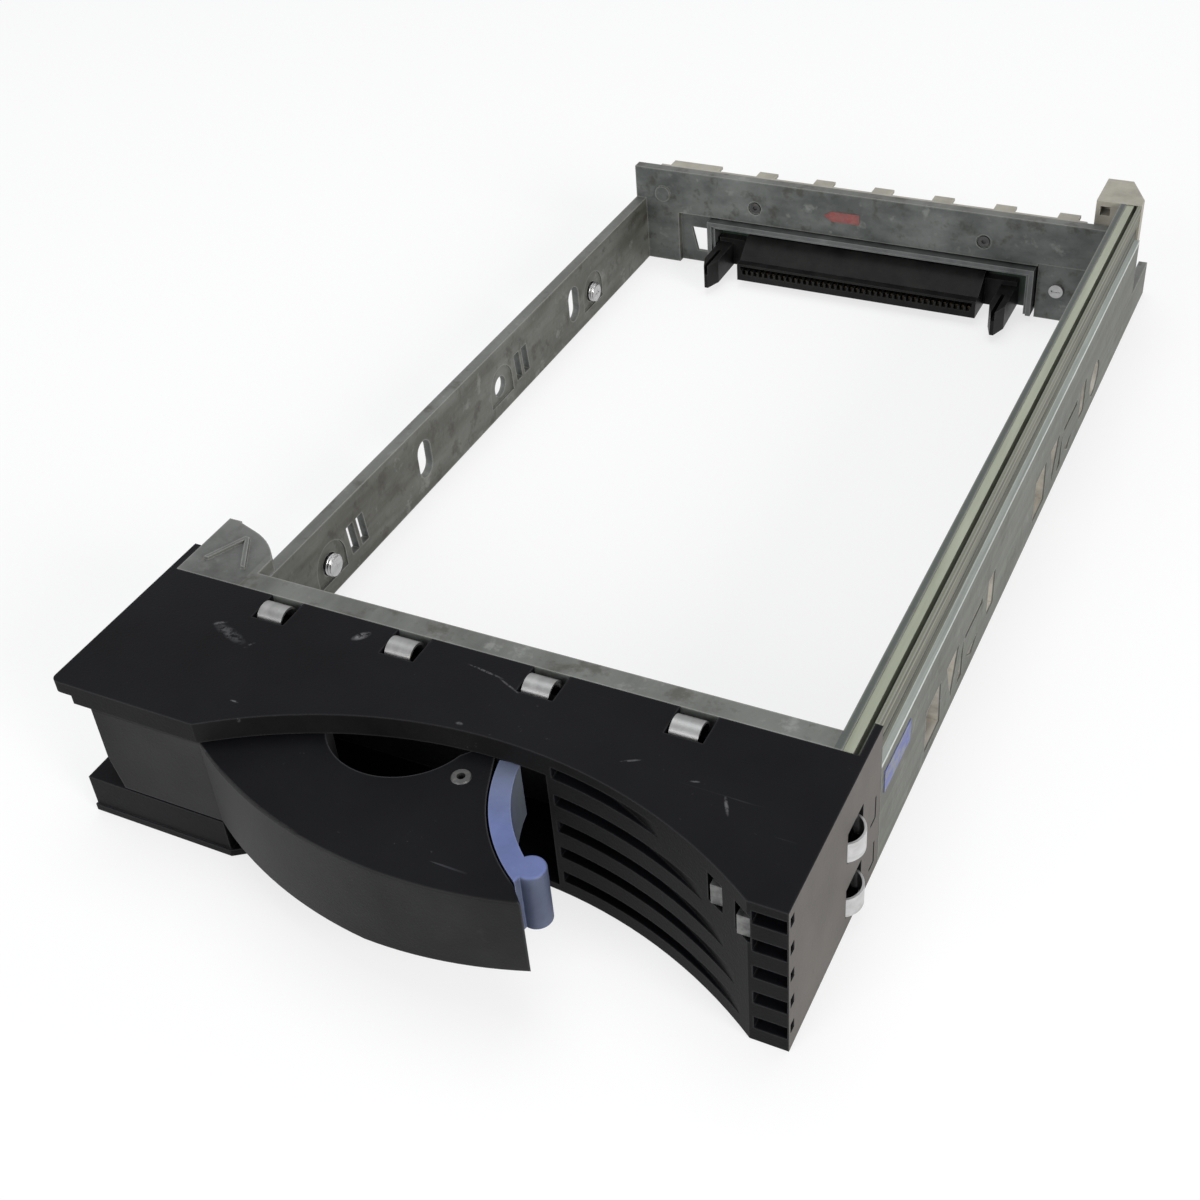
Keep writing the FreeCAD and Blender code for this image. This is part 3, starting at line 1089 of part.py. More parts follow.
# ---------------------------------------------------------------- strips, tags and patches
def make_tab_strip():
    """A strip on the back of the cross member, its tabs bent out to the rear."""
    body = new_body("rear_tab_strip")
    low = d.board_height + d.port_gap
    high = d.rear_height
    pad(body, "strip", "XZ", rear_face, rear_face + d.strip_gauge, box_path(
        left + d.strip_left, right - d.strip_right, low, high))
    tab_x = left + d.tab_first
    tab_rear = rear_face + d.tab_reach
    tab = pad(body, "tab", "XY", high - d.strip_gauge, high, box_path(
        tab_x - d.tab_width / 2, tab_x + d.tab_width / 2, rear_face, tab_rear))
    repeat(body, "tabs", tab, "X_Axis", right - d.tab_last - tab_x, 7)
    pad(body, "wide_tab", "XY", high - d.strip_gauge, high, box_path(
        left + d.strip_left + d.tab_width / 2, tab_x, rear_face, tab_rear))
    return body


def make_label():
    body = new_body("side_label")
    y0 = front + d.side_reach + d.cross_flange
    pad(body, "patch", "YZ", right, right + d.patch_gauge, box_path(
        y0, y0 + d.label_length, d.label_low, d.label_low + d.label_height))
    return body


def make_tag():
    body = new_body("front_tag")
    x1 = left + d.side_wall + d.rod_gap + d.ear_width - d.rim_out
    pad(body, "tab", "XY", top - d.ear_plate - 2 * d.rim_height, top - d.ear_plate, box_path(
        x1 - d.cross_web, x1, cross_rear, cross_rear + d.cross_web))
    return body


def make_marker():
    body = new_body("marker_arrow")
    z_mid = d.rivet_height + d.rim_out
    half = d.rim_height * 0.8
    x1 = middle_x - half
    x0 = x1 - 7 * half
    pad(body, "arrow", "XZ", bay_rear - d.patch_gauge, bay_rear, [
        line_to(x0, z_mid), line_to(x0 + half * 1.6, z_mid - half), line_to(x1, z_mid - half),
        line_to(x1, z_mid + half), line_to(x0 + half * 1.6, z_mid + half)])
    return body


# ---------------------------------------------------------------- assembly and export
def check_body(body):
    """Every feature computed, and each pad or pocket changed the volume the right way."""
    faults = []
    for feature in [body] + body.Group:
        if "Invalid" in feature.State or "Error" in feature.State:
            faults.append(f"{body.Label}.{feature.Name} failed: {feature.State}")
            continue
        base = getattr(feature, "BaseFeature", None)
        if base is None or feature.Shape.isNull() or base.Shape.isNull():
            continue
        change = feature.Shape.Volume - base.Shape.Volume
        grows = feature.TypeId == "PartDesign::Pad"
        shrinks = feature.TypeId == "PartDesign::Pocket"
        if (grows and change <= 0) or (shrinks and change >= 0):
            faults.append(f"{body.Label}.{feature.Name} changed nothing")
    if body.Shape.isNull() or not body.Shape.isValid():
        faults.append(f"{body.Label} has no valid shape")
    return faults


bodies = [make_bezel(), make_tray(), make_handle(), make_latch(), make_hub_pin(),
          make_latch_rivet(), make_latch_spring()]
bodies += [make_top_clip(index) for index in range(4)]
bodies += [make_side_clip(index) for index in range(2)]
bodies += make_pipes()
bodies += [make_holder(), make_board(), make_bracket(), make_receptacle(),
           make_receptacle_contacts(), make_plug(), make_plug_contacts(), make_lock_screw()]
bodies += [make_board_rivet(index) for index in range(2)]
bodies += [make_drive_screw(index) for index in range(4)]
bodies += [make_tab_strip(), make_label(), make_tag(), make_marker()]

doc.recompute()
os.makedirs("parts", exist_ok=True)
faults = [fault for body in bodies for fault in check_body(body)]
if faults:
    raise RuntimeError("\n".join(faults))
for body in bodies:
    body.Shape.exportStep(f"parts/{body.Label}.step")
    box = body.Shape.BoundBox
    print(f"{body.Label}: {len(body.Shape.Solids)} solid(s), {body.Shape.Volume:.1f} mm3, "
          f"x {box.XMin:.2f} {box.XMax:.2f} y {box.YMin:.2f} {box.YMax:.2f} "
          f"z {box.ZMin:.2f} {box.ZMax:.2f}")
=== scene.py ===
"""Looks of the hot swap drive caddy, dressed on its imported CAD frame."""

import json
import math

import bmesh
import bpy
from mathutils import Matrix, Vector


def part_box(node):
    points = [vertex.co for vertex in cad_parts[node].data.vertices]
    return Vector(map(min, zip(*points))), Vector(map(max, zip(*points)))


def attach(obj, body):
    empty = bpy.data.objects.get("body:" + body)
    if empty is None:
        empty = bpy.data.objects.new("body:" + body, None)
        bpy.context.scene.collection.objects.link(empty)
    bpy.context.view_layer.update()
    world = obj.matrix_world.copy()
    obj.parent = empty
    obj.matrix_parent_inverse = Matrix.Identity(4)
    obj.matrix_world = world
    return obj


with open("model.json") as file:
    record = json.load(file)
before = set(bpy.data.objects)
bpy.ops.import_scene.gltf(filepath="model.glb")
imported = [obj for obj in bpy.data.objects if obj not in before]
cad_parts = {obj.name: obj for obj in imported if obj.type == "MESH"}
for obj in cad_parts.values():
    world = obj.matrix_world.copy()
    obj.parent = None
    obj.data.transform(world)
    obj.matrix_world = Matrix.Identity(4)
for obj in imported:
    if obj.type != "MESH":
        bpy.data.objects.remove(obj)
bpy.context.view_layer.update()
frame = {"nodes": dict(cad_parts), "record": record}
MM = 0.001

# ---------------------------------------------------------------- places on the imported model
OPEN = (None, None, None)                   # a zone's corner without limits
bezel_low, bezel_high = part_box("bezel")
tray_low, tray_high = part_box("tray_frame")
lever_low, lever_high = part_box("handle_lever")
latch_low, latch_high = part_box("release_latch")
RAIL_FACE, RAIL_TOP = tray_high.x, bezel_high.z     # the right rail's outer face and its top
WALL_SKIN = 0.4 * MM                        # what counts as the bezel's outer side walls
LENS_DEPTH = 11 * MM                        # how far back the light pipes show in the windows

# scuffs on the top plate, from the bezel's left rear top corner: across, forward, half length,
# half width in millimetres, turn in degrees, strength
SCUFFS = ((36.7, 9.6, 1.6, 0.8, 50, 0.95), (18.2, 16.0, 4.0, 1.1, -20, 0.35),
          (30.4, 30.7, 0.5, 0.3, 0, 0.8), (27.7, 27.9, 0.8, 0.2, 0, 0.7),
          (15.5, 14.6, 1.3, 0.35, 35, 0.5), (22.6, 17.2, 1.0, 0.3, 60, 0.45),
          (57.2, 9.7, 3.4, 0.22, -9, 0.6), (61.8, 11.2, 2.6, 0.2, -24, 0.55),
          (97.7, 20.8, 1.9, 0.3, -62, 0.6), (83.3, 18.0, 1.6, 0.22, 28, 0.45),
          (59.0, 20.2, 0.6, 0.35, 0, 0.6), (92.4, 18.4, 0.8, 0.2, 15, 0.5))

# ---------------------------------------------------------------- sizes of the screw threads
THREAD_REACH = 0.98 * MM                    # from the thread's start to the screw's tip
THREAD_CREST, THREAD_PITCH = 0.30 * MM, 0.48 * MM
LEFT_CORE, RIGHT_CORE = 1.76 * MM, 1.56 * MM        # 0.01 mm outside the CAD's plain ends
THREAD_ROWS, THREAD_STEPS = 24, 56          # divisions along the thread and round it
CREST_FADE = 6.0                            # the crest runs out over a sixth of the thread
TIP_RINGS = ((0.82, 0.04 * MM), (0.55, 0.09 * MM), (0.30, 0.09 * MM), (0.12, 0.02 * MM))
CROSS_DENT, CROSS_EDGE = 0.07 * MM, 0.55    # depth of the crossed tip and where it starts

# ---------------------------------------------------------------- studio
FLOOR_HALF, FLOOR_DROP = 3.0, 0.2 * MM
FLOOR_GLOW = 0.72                           # share of plain white in what the camera sees
WORLD_STRENGTH = 0.35
# name, place, size, power, colour; each lamp looks at the origin
LAMPS = (("key", (0.95, -0.45, 0.42), 0.5, 9.0, (1.0, 0.985, 0.96)),
         ("front", (-0.25, -1.0, 0.45), 0.6, 5.0, (1.0, 1.0, 1.0)),
         ("top", (-0.1, 0.2, 1.1), 0.8, 5.0, (0.97, 0.985, 1.0)))
# the photograph's view: place in metres, angles in degrees, lens and sensor in millimetres
CAMERA_PLACE = (0.10012, -0.21592, 0.17557)
CAMERA_TURN, CAMERA_HEIGHT, CAMERA_ROLL = 29.36, 38.76, -5.26
CAMERA_LENS, CAMERA_SENSOR, CAMERA_NEAR = 49.65, 36.0, 0.01


# ---------------------------------------------------------------- node helpers
class Shader:
    """A small builder for one node material."""

    def __init__(self, name, roughness, metallic=0.0, specular=0.5):
        self.material = bpy.data.materials.new(name)
        self.material.use_nodes = True
        self.tree = self.material.node_tree
        self.bsdf = self.tree.nodes["Principled BSDF"]
        self.bsdf.inputs["Roughness"].default_value = roughness
        self.bsdf.inputs["Metallic"].default_value = metallic
        self.bsdf.inputs["Specular IOR Level"].default_value = specular
        self.place = self.tree.nodes.new("ShaderNodeTexCoord").outputs["Object"]

    def node(self, kind, **settings):
        made = self.tree.nodes.new("ShaderNode" + kind)
        for key, value in settings.items():
            setattr(made, key, value)
        return made

    def link(self, source, target):
        self.tree.links.new(source, target)

    def feed(self, sockets, values):
        """Set each socket from a number, a colour or another node's output."""
        for socket, value in zip(sockets, values):
            if isinstance(value, (int, float)):
                socket.default_value = value
            elif isinstance(value, tuple):
                socket.default_value = (*value, 1.0)
            else:
                self.link(value, socket)

    def stretched(self, x, y, z):
        mapping = self.node("Mapping")
        mapping.inputs["Scale"].default_value = (x, y, z)
        self.link(self.place, mapping.inputs["Vector"])
        return mapping.outputs["Vector"]

    def noise(self, scale, detail=4.0, rough=0.55, place=None):
        made = self.node("TexNoise")
        made.inputs["Scale"].default_value = scale
        made.inputs["Detail"].default_value = detail
        made.inputs["Roughness"].default_value = rough
        self.link(place or self.place, made.inputs["Vector"])
        return made.outputs["Fac"]

    def ramp(self, factor, *stops):
        made = self.node("ValToRGB")
        ramp = made.color_ramp
        while len(ramp.elements) < len(stops):
            ramp.elements.new(0.5)
        for element, (position, colour) in zip(ramp.elements, stops):
            element.position = position
            element.color = (*colour, 1.0)
        self.link(factor, made.inputs["Fac"])
        return made.outputs["Color"]

    def grey_ramp(self, factor, low, high, dark=0.0, light=1.0):
        return self.ramp(factor, (low, (dark,) * 3), (high, (light,) * 3))

    def mix(self, factor, first, second):
        made = self.node("Mix", data_type="RGBA", blend_type="MIX")
        self.feed((made.inputs[0], made.inputs[6], made.inputs[7]), (factor, first, second))
        return made.outputs[2]

    def maths(self, operation, first, second=0.0):
        made = self.node("Math", operation=operation)
        self.feed(made.inputs, (first, second))
        return made.outputs[0]

    def tint(self, colour, mask, share, other):
        """Bring in another colour where a mask is bright, up to a share of it."""
        return self.mix(self.maths("MULTIPLY", mask, share), colour, other)

    def edges(self, radius):
        """A mask that is bright along sharp edges."""
        bevel = self.node("Bevel", samples=6)
        bevel.inputs["Radius"].default_value = radius
        geometry = self.node("NewGeometry")
        dot = self.node("VectorMath", operation="DOT_PRODUCT")
        self.feed(dot.inputs, (bevel.outputs["Normal"], geometry.outputs["Normal"]))
        turned = self.maths("SUBTRACT", 1.0, dot.outputs["Value"])
        return self.grey_ramp(turned, 0.02, 0.25)

    def facing(self, axis, low=0.5, high=0.85):
        """A mask that is bright on faces that look along an axis of the object, either way."""
        split = self.node("SeparateXYZ")
        self.link(self.node("TexCoord").outputs["Normal"], split.inputs[0])
        size = self.maths("ABSOLUTE", split.outputs[axis])
        return self.grey_ramp(size, low, high)

    def zone(self, low, high, soft=0.1 * MM):
        """A mask that is bright inside a box, given by two corners in metres."""
        split = self.node("SeparateXYZ")
        self.link(self.place, split.inputs[0])
        inside = None
        for axis in range(3):
            for limit, sign in ((low[axis], 1), (high[axis], -1)):
                if limit is None:
                    continue
                past = self.maths("MULTIPLY", self.maths("SUBTRACT", split.outputs[axis], limit),
                                  sign / soft)
                step = self.grey_ramp(past, 0.0, 1.0)
                inside = step if inside is None else self.maths("MULTIPLY", inside, step)
        return inside

    def rail_line(self, inside, deepest, highest=None, outside=None):
        """A zone along the right rail, in millimetres inside its outer face and below its top."""
        low = (RAIL_FACE - inside * MM, None, None if deepest is None else RAIL_TOP - deepest * MM)
        high = (None if outside is None else RAIL_FACE - outside * MM, None,
                None if highest is None else RAIL_TOP - highest * MM)
        return self.zone(low, high)

    def mark(self, place, length, width, turn):
        """A mask that is bright inside one small scuff."""
        mapping = self.node("Mapping", vector_type="TEXTURE")
        mapping.inputs["Location"].default_value = place
        mapping.inputs["Rotation"].default_value = (0, 0, math.radians(turn))
        mapping.inputs["Scale"].default_value = (length * MM, width * MM, MM)
        self.link(self.place, mapping.inputs["Vector"])
        distance = self.node("VectorMath", operation="LENGTH")
        self.link(mapping.outputs["Vector"], distance.inputs[0])
        return self.grey_ramp(distance.outputs["Value"], 0.35, 1.0, 1.0, 0.0)

    def colour(self, source):
        self.link(source, self.bsdf.inputs["Base Color"])

    def rough(self, source, low, high):
        self.link(self.grey_ramp(source, 0.0, 1.0, low, high), self.bsdf.inputs["Roughness"])

    def bump(self, *layers):
        """Stack (height, strength, distance) layers."""
        normal = None
        for height, strength, distance in layers:
            made = self.node("Bump")
            made.inputs["Strength"].default_value = strength
            made.inputs["Distance"].default_value = distance
            self.link(height, made.inputs["Height"])
            if normal is not None:
                self.link(normal, made.inputs["Normal"])
            normal = made.outputs["Normal"]
        self.link(normal, self.bsdf.inputs["Normal"])


# ---------------------------------------------------------------- materials
def cast_metal():
    """Die-cast alloy: cloudy flow marks, dark stains, and a painted highlight along its edges.

    The right rail carries long bands of painted light and shade, and its outer pockets carry pale
    painted light with dust.
    """
    s = Shader("cast_metal", 0.5, metallic=0.35, specular=0.3)
    cloud = s.noise(60, 6.0, 0.66)
    blotch = s.noise(210, 4.0, 0.65)
    flow = s.noise(150, 4.0, 0.6, s.stretched(1.0, 0.2, 1.7))
    grain = s.noise(700, 3.0, 0.7, s.stretched(1.0, 0.02, 1.0))

    colour = s.ramp(cloud, (0.33, (0.050, 0.052, 0.045)), (0.50, (0.092, 0.095, 0.086)),
                    (0.66, (0.165, 0.170, 0.158)))
    streaks = s.ramp(flow, (0.38, (0.040, 0.041, 0.035)), (0.62, (0.200, 0.205, 0.192)))
    colour = s.mix(0.42, colour, streaks)
    # painted light by facing: level faces painted paler, front and rear faces a bluish painted
    # light, side faces a brownish painted light
    for axis, share, cast in ((2, 0.35, (0.150, 0.155, 0.146)), (1, 0.35, (0.105, 0.122, 0.122)),
                              (0, 0.25, (0.125, 0.116, 0.092))):
        colour = s.tint(colour, s.facing(axis), share, cast)
    colour = s.mix(s.grey_ramp(blotch, 0.55, 0.66, 0.0, 0.6), colour, (0.042, 0.038, 0.030))
    colour = s.tint(colour, s.grey_ramp(blotch, 0.30, 0.40, 1.0, 0.0), 0.45, (0.27, 0.275, 0.26))

    # the right rail's bands of painted light and shade: painted shade lines on its side, painted
    # highlights on the lip's line and the ledge's line, painted light and shade lines along the
    # outer face, painted light on the crown, and painted shade on the wall between the bay and the
    # channel
    painted_side_shade = s.ramp(grain, (0.40, (0.045, 0.046, 0.034)), (0.60, (0.140, 0.140, 0.106)))
    colour = s.tint(colour, s.rail_line(1.2, 7.1, 0.3), 0.85, painted_side_shade)
    colour = s.tint(colour, s.rail_line(1.2, 1.7, 1.1), 0.8, (0.25, 0.25, 0.19))
    # painted highlight on the ledge
    bright = s.ramp(grain, (0.40, (0.36, 0.385, 0.37)), (0.60, (0.52, 0.56, 0.54)))
    colour = s.tint(colour, s.rail_line(1.2, 7.9, 6.9), 0.95, bright)
    # painted light and shade lines along the outer face
    painted_face_lines = s.ramp(grain, (0.40, (0.070, 0.078, 0.062)), (0.60, (0.125, 0.138, 0.112)))
    colour = s.tint(colour, s.rail_line(0.1, None, 8.1), 0.45, painted_face_lines)
    colour = s.tint(colour, s.rail_line(1.2, 0.3), 0.85, (0.150, 0.153, 0.112))
    colour = s.tint(colour, s.rail_line(4.6, 0.7, outside=3.4), 0.85, (0.062, 0.070, 0.065))

    # the ear is darker, and the rail's outer pockets carry pale painted light with dust
    ear = s.zone((None, None, RAIL_TOP - 2.7 * MM),
                 (bezel_low.x + 12.7 * MM, bezel_high.y + 7.35 * MM, None))
    colour = s.tint(colour, ear, 0.6, s.ramp(cloud, (0.40, (0.040, 0.042, 0.042)),
                                             (0.60, (0.110, 0.113, 0.110))))
    pockets = s.zone((RAIL_FACE - 3.6 * MM, tray_low.y + 15.15 * MM, tray_low.z + 1.5 * MM),
                     (RAIL_FACE - 0.2 * MM, tray_high.y - 23.15 * MM, tray_low.z + 11 * MM))
    colour = s.tint(colour, pockets, 0.8, s.ramp(flow, (0.35, (0.42, 0.39, 0.34)),
                                                 (0.65, (0.78, 0.74, 0.67))))
    # a painted highlight along the edges
    colour = s.tint(colour, s.edges(0.6 * MM), 0.5, (0.36, 0.365, 0.34))
    s.colour(colour)
    s.rough(flow, 0.40, 0.66)
    s.bump((s.noise(900, 3.0, 0.6), 0.3, 0.2 * MM), (cloud, 0.2, 0.8 * MM))
    return s.material


def black_plastic(name, front, edge_highlight, on_bezel):
    """Moulded black plastic: fine grain, faint dust, hairline scratches, a painted highlight on
    edges.

    The top is near black, and faces that look forward or back carry a greyer painted light. On the
    bezel the outer side walls carry a paler painted light and the top plate is scuffed. On the
    lever the middle of the front carries a paler painted light.
    """
    s = Shader(name, 0.5, specular=0.06)
    haze = s.noise(45, 4.0, 0.6)
    dust = s.noise(1500, 2.0, 0.7)
    colour = s.ramp(haze, (0.32, (0.0022, 0.0023, 0.0030)), (0.72, (0.0062, 0.0064, 0.0080)))
    # painted light: faces that look forward or back are greyer
    painted_front_light = s.maths("MULTIPLY", s.facing(1, 0.2, 0.7), 0.85)
    colour = s.mix(painted_front_light, colour,
                   s.ramp(haze, (0.3, (front[0],) * 3), (0.7, (front[1],) * 3)))
    if on_bezel:
        # painted light: the bezel's outer side walls are paler
        outside = s.maths("MAXIMUM", s.zone((bezel_high.x - WALL_SKIN, None, None), OPEN),
                          s.zone(OPEN, (bezel_low.x + WALL_SKIN, None, None)))
        wall = s.ramp(haze, (0.3, (0.0900, 0.0837, 0.0774)), (0.7, (0.1350, 0.12555, 0.1161)))
        colour = s.tint(colour, s.facing(0, 0.75, 0.97), s.maths("MULTIPLY", outside, 0.9), wall)
    else:
        # painted light: the middle of the lever's front is paler
        middle = s.zone((lever_low.x + 5.7 * MM, None, None),
                        (lever_high.x - 19.3 * MM, None, None), 22 * MM)
        colour = s.tint(colour, painted_front_light, s.maths("MULTIPLY", middle, 0.75),
                        s.ramp(haze, (0.3, (0.030,) * 3), (0.7, (0.046,) * 3)))
    specks = s.maths("MULTIPLY", s.grey_ramp(dust, 0.70, 0.78), s.grey_ramp(haze, 0.5, 0.62))
    colour = s.tint(colour, specks, 0.35, (0.10, 0.095, 0.09))
    lines = s.noise(90, 2.0, 0.5, s.stretched(0.35, 9.0, 3.0))
    scratch = s.maths("MULTIPLY", s.grey_ramp(lines, 0.715, 0.74), s.grey_ramp(haze, 0.47, 0.6))
    colour = s.tint(colour, scratch, 0.4, (0.07, 0.07, 0.08))
    if on_bezel:
        ragged = s.grey_ramp(s.noise(1400, 3.0, 0.7), 0.38, 0.56)
        for across, forward, length, width, turn, strength in SCUFFS:
            place = (bezel_low.x + across * MM, bezel_high.y - forward * MM, bezel_high.z)
            scuff = s.maths("MULTIPLY", s.mark(place, length, width, turn), ragged)
            colour = s.tint(colour, scuff, strength, (0.16, 0.16, 0.17))
    # a painted highlight along the edges
    colour = s.tint(colour, s.edges(0.5 * MM), edge_highlight, (0.050, 0.050, 0.054))
    s.colour(colour)
    s.rough(haze, 0.44, 0.62)
    s.bump((s.noise(2600, 2.0, 0.6), 0.35, 0.12 * MM))
    return s.material


def blue_plastic():
    """Moulded blue plastic, dusty at its rear end; painted light makes the top a clearer blue and
    the walls greyer, with a painted highlight along the edges.
    """
    s = Shader("blue_plastic", 0.42, specular=0.25)
    haze = s.noise(160, 4.0, 0.6)
    colour = s.ramp(haze, (0.3, (0.056, 0.068, 0.110)), (0.7, (0.084, 0.100, 0.160)))
    # painted light: the top is a clearer blue than the walls
    colour = s.tint(colour, s.facing(2), 0.95,
                    s.ramp(haze, (0.3, (0.085, 0.112, 0.250)), (0.7, (0.125, 0.158, 0.345))))
    rear_end = s.zone((None, latch_low.y + 7.48 * MM, None), OPEN, 9 * MM)
    colour = s.tint(colour, rear_end, 0.55, (0.130, 0.145, 0.150))
    # a painted highlight along the edges
    colour = s.tint(colour, s.edges(0.4 * MM), 0.5, (0.19, 0.23, 0.40))
    s.colour(colour)
    s.rough(haze, 0.34, 0.5)
    s.bump((s.noise(2200, 2.0, 0.6), 0.2, 0.1 * MM))
    return s.material


def steel(name, tone, roughness):
    """Bare steel, brushed along the object, with brown stains."""
    s = Shader(name, roughness, metallic=0.9)
    brushed = s.noise(900, 3.0, 0.6, s.stretched(1.0, 0.12, 1.0))
    colour = s.ramp(brushed, (0.3, (0.78 * tone,) * 3), (0.7, (tone,) * 3))
    stain = s.noise(500, 3.0, 0.6)
    colour = s.mix(s.grey_ramp(stain, 0.6, 0.75, 0.0, 0.4), colour, (0.24, 0.22, 0.19))
    s.colour(colour)
    s.rough(brushed, roughness * 0.8, roughness * 1.35)
    s.bump((brushed, 0.12, 0.1 * MM))
    return s.material


def clear_plastic():
    """Clear rod with a faint green tint and moulded flow lines; its ends in the bezel's windows
    are painted shade, dark grey and mottled.
    """
    s = Shader("clear_plastic", 0.3, specular=0.35)
    s.bsdf.inputs["Transmission Weight"].default_value = 0.3
    s.bsdf.inputs["IOR"].default_value = 1.49
    veil = s.noise(120, 4.0, 0.6, s.stretched(4.0, 0.3, 4.0))
    colour = s.ramp(veil, (0.3, (0.33, 0.355, 0.26)), (0.7, (0.47, 0.50, 0.39)))
    # painted shade: the rod's ends in the bezel's windows are dark grey
    lens = s.zone(OPEN, (None, bezel_low.y + LENS_DEPTH, None))
    colour = s.mix(lens, colour, s.ramp(s.noise(600, 3.0, 0.6), (0.35, (0.060, 0.062, 0.060)),
                                        (0.65, (0.21, 0.215, 0.205))))
    s.colour(colour)
    s.rough(veil, 0.2, 0.45)
    s.bump((veil, 0.12, 0.2 * MM))
    return s.material


def bracket_plate():
    """Thin plated sheet, cloudy, with a painted highlight along its edges."""
    s = Shader("bracket_plate", 0.36, metallic=0.7)
    cloud = s.noise(180, 4.0, 0.6)
    colour = s.ramp(cloud, (0.3, (0.075, 0.078, 0.078)), (0.7, (0.15, 0.155, 0.155)))
    # a painted highlight along the edges
    colour = s.tint(colour, s.edges(0.4 * MM), 0.6, (0.34, 0.35, 0.35))
    s.colour(colour)
    s.rough(cloud, 0.3, 0.5)
    s.bump((s.noise(1200, 3.0, 0.6), 0.15, 0.1 * MM))
    return s.material


def pale_plastic():
    """Pale moulded plastic, slightly yellowed, with a painted highlight along its edges."""
    s = Shader("pale_plastic", 0.5)
    haze = s.noise(220, 4.0, 0.6)
    colour = s.ramp(haze, (0.3, (0.23, 0.215, 0.175)), (0.7, (0.36, 0.34, 0.285)))
    # a painted highlight along the edges
    colour = s.tint(colour, s.edges(0.4 * MM), 0.4, (0.48, 0.46, 0.40))
    s.colour(colour)
    s.rough(haze, 0.42, 0.6)
    s.bump((s.noise(2000, 2.0, 0.6), 0.2, 0.1 * MM))
    return s.material


def connector_plastic():
    """The connectors' black plastic, a little glossier than the bezel's."""
    s = Shader("connector_plastic", 0.45, specular=0.12)
    haze = s.noise(260, 4.0, 0.6)
    colour = s.ramp(haze, (0.3, (0.005, 0.005, 0.005)), (0.7, (0.013, 0.0125, 0.012)))
    # a painted highlight along the edges
    colour = s.tint(colour, s.edges(0.3 * MM), 0.5, (0.050, 0.048, 0.046))
    s.colour(colour)
    s.rough(haze, 0.3, 0.5)
    s.bump((s.noise(3000, 2.0, 0.6), 0.2, 0.08 * MM))
    return s.material


def board():
    """Green circuit board: glass weave under lacquer, with paler tracks."""
    s = Shader("board", 0.35, specular=0.5)
    weave = s.noise(700, 2.0, 0.5, s.stretched(6.0, 1.0, 1.0))
    tracks = s.node("TexBrick")
    tracks.inputs["Scale"].default_value = 260
    tracks.inputs["Mortar Size"].default_value = 0.03
    tracks.inputs["Color1"].default_value = (0.010, 0.022, 0.013, 1)
    tracks.inputs["Color2"].default_value = (0.012, 0.027, 0.016, 1)
    tracks.inputs["Mortar"].default_value = (0.022, 0.042, 0.027, 1)
    s.link(s.place, tracks.inputs["Vector"])
    s.colour(s.mix(s.grey_ramp(weave, 0.4, 0.7, 0.0, 0.4), tracks.outputs["Color"],
                   (0.018, 0.036, 0.022)))
    s.rough(weave, 0.28, 0.45)
    s.bump((weave, 0.15, 0.1 * MM))
    return s.material


def contact_metal():
    """The contacts' dull gilt metal."""
    s = Shader("contact_metal", 0.3, metallic=0.95)
    grain = s.noise(1500, 3.0, 0.6)
    s.colour(s.ramp(grain, (0.3, (0.040, 0.032, 0.020)), (0.7, (0.100, 0.080, 0.050))))
    s.rough(grain, 0.22, 0.42)
    s.bump((grain, 0.1, 0.05 * MM))
    return s.material


def film(name, dark, light, wear):
    """Printed film with no printing left on it: plain colour, scuffed."""
    s = Shader(name, 0.45, specular=0.5)
    haze = s.noise(350, 4.0, 0.65)
    colour = s.ramp(haze, (0.3, dark), (0.7, light))
    worn = s.noise(520, 4.0, 0.7)
    colour = s.mix(s.grey_ramp(worn, 0.46, 0.56, 0.0, wear), colour, (0.155, 0.165, 0.150))
    scuff = s.noise(900, 3.0, 0.7, s.stretched(1.0, 0.3, 1.0))
    scuffed = tuple(min(1.0, 2.2 * part + 0.05) for part in light)
    colour = s.mix(s.grey_ramp(scuff, 0.62, 0.74, 0.0, 0.35), colour, scuffed)
    s.colour(colour)
    s.rough(scuff, 0.35, 0.6)
    s.bump((haze, 0.1, 0.1 * MM))
    return s.material


MATERIALS = {
    "cast_metal": cast_metal(),
    "black_plastic": black_plastic("black_plastic", (0.004, 0.011), 0.45, on_bezel=True),
    "lever_plastic": black_plastic("lever_plastic", (0.012, 0.024), 0.9, on_bezel=False),
    "blue_plastic": blue_plastic(),
    "steel": steel("steel", 0.42, 0.30),
    "dark_steel": steel("dark_steel", 0.085, 0.45),
    "worn_steel": steel("worn_steel", 0.62, 0.42),
    "thread_steel": steel("thread_steel", 0.50, 0.24),
    "spring_steel": steel("spring_steel", 0.27, 0.40),
    "clear_plastic": clear_plastic(),
    "pale_plastic": pale_plastic(),
    "connector_plastic": connector_plastic(),
    "board": board(),
    "bracket_plate": bracket_plate(),
    "contact_metal": contact_metal(),
    "blue_patch": film("blue_patch", (0.045, 0.060, 0.22), (0.100, 0.120, 0.30), 0.75),
    "red_patch": film("red_patch", (0.15, 0.030, 0.028), (0.23, 0.060, 0.055), 0.15),
}

# nodes whose finish differs from their slot's own
VARIANTS = {"handle_lever": "lever_plastic", "latch_rivet": "dark_steel",
            "board_rivet_1": "dark_steel", "board_rivet_2": "dark_steel",
            "side_clip_1": "worn_steel", "side_clip_2": "worn_steel"}

for part in frame["record"]["subparts"]:
    mesh = frame["nodes"][part["node"]].data
    mesh.materials.clear()
    mesh.materials.append(MATERIALS[VARIANTS.get(part["node"], part["material_slot"])])


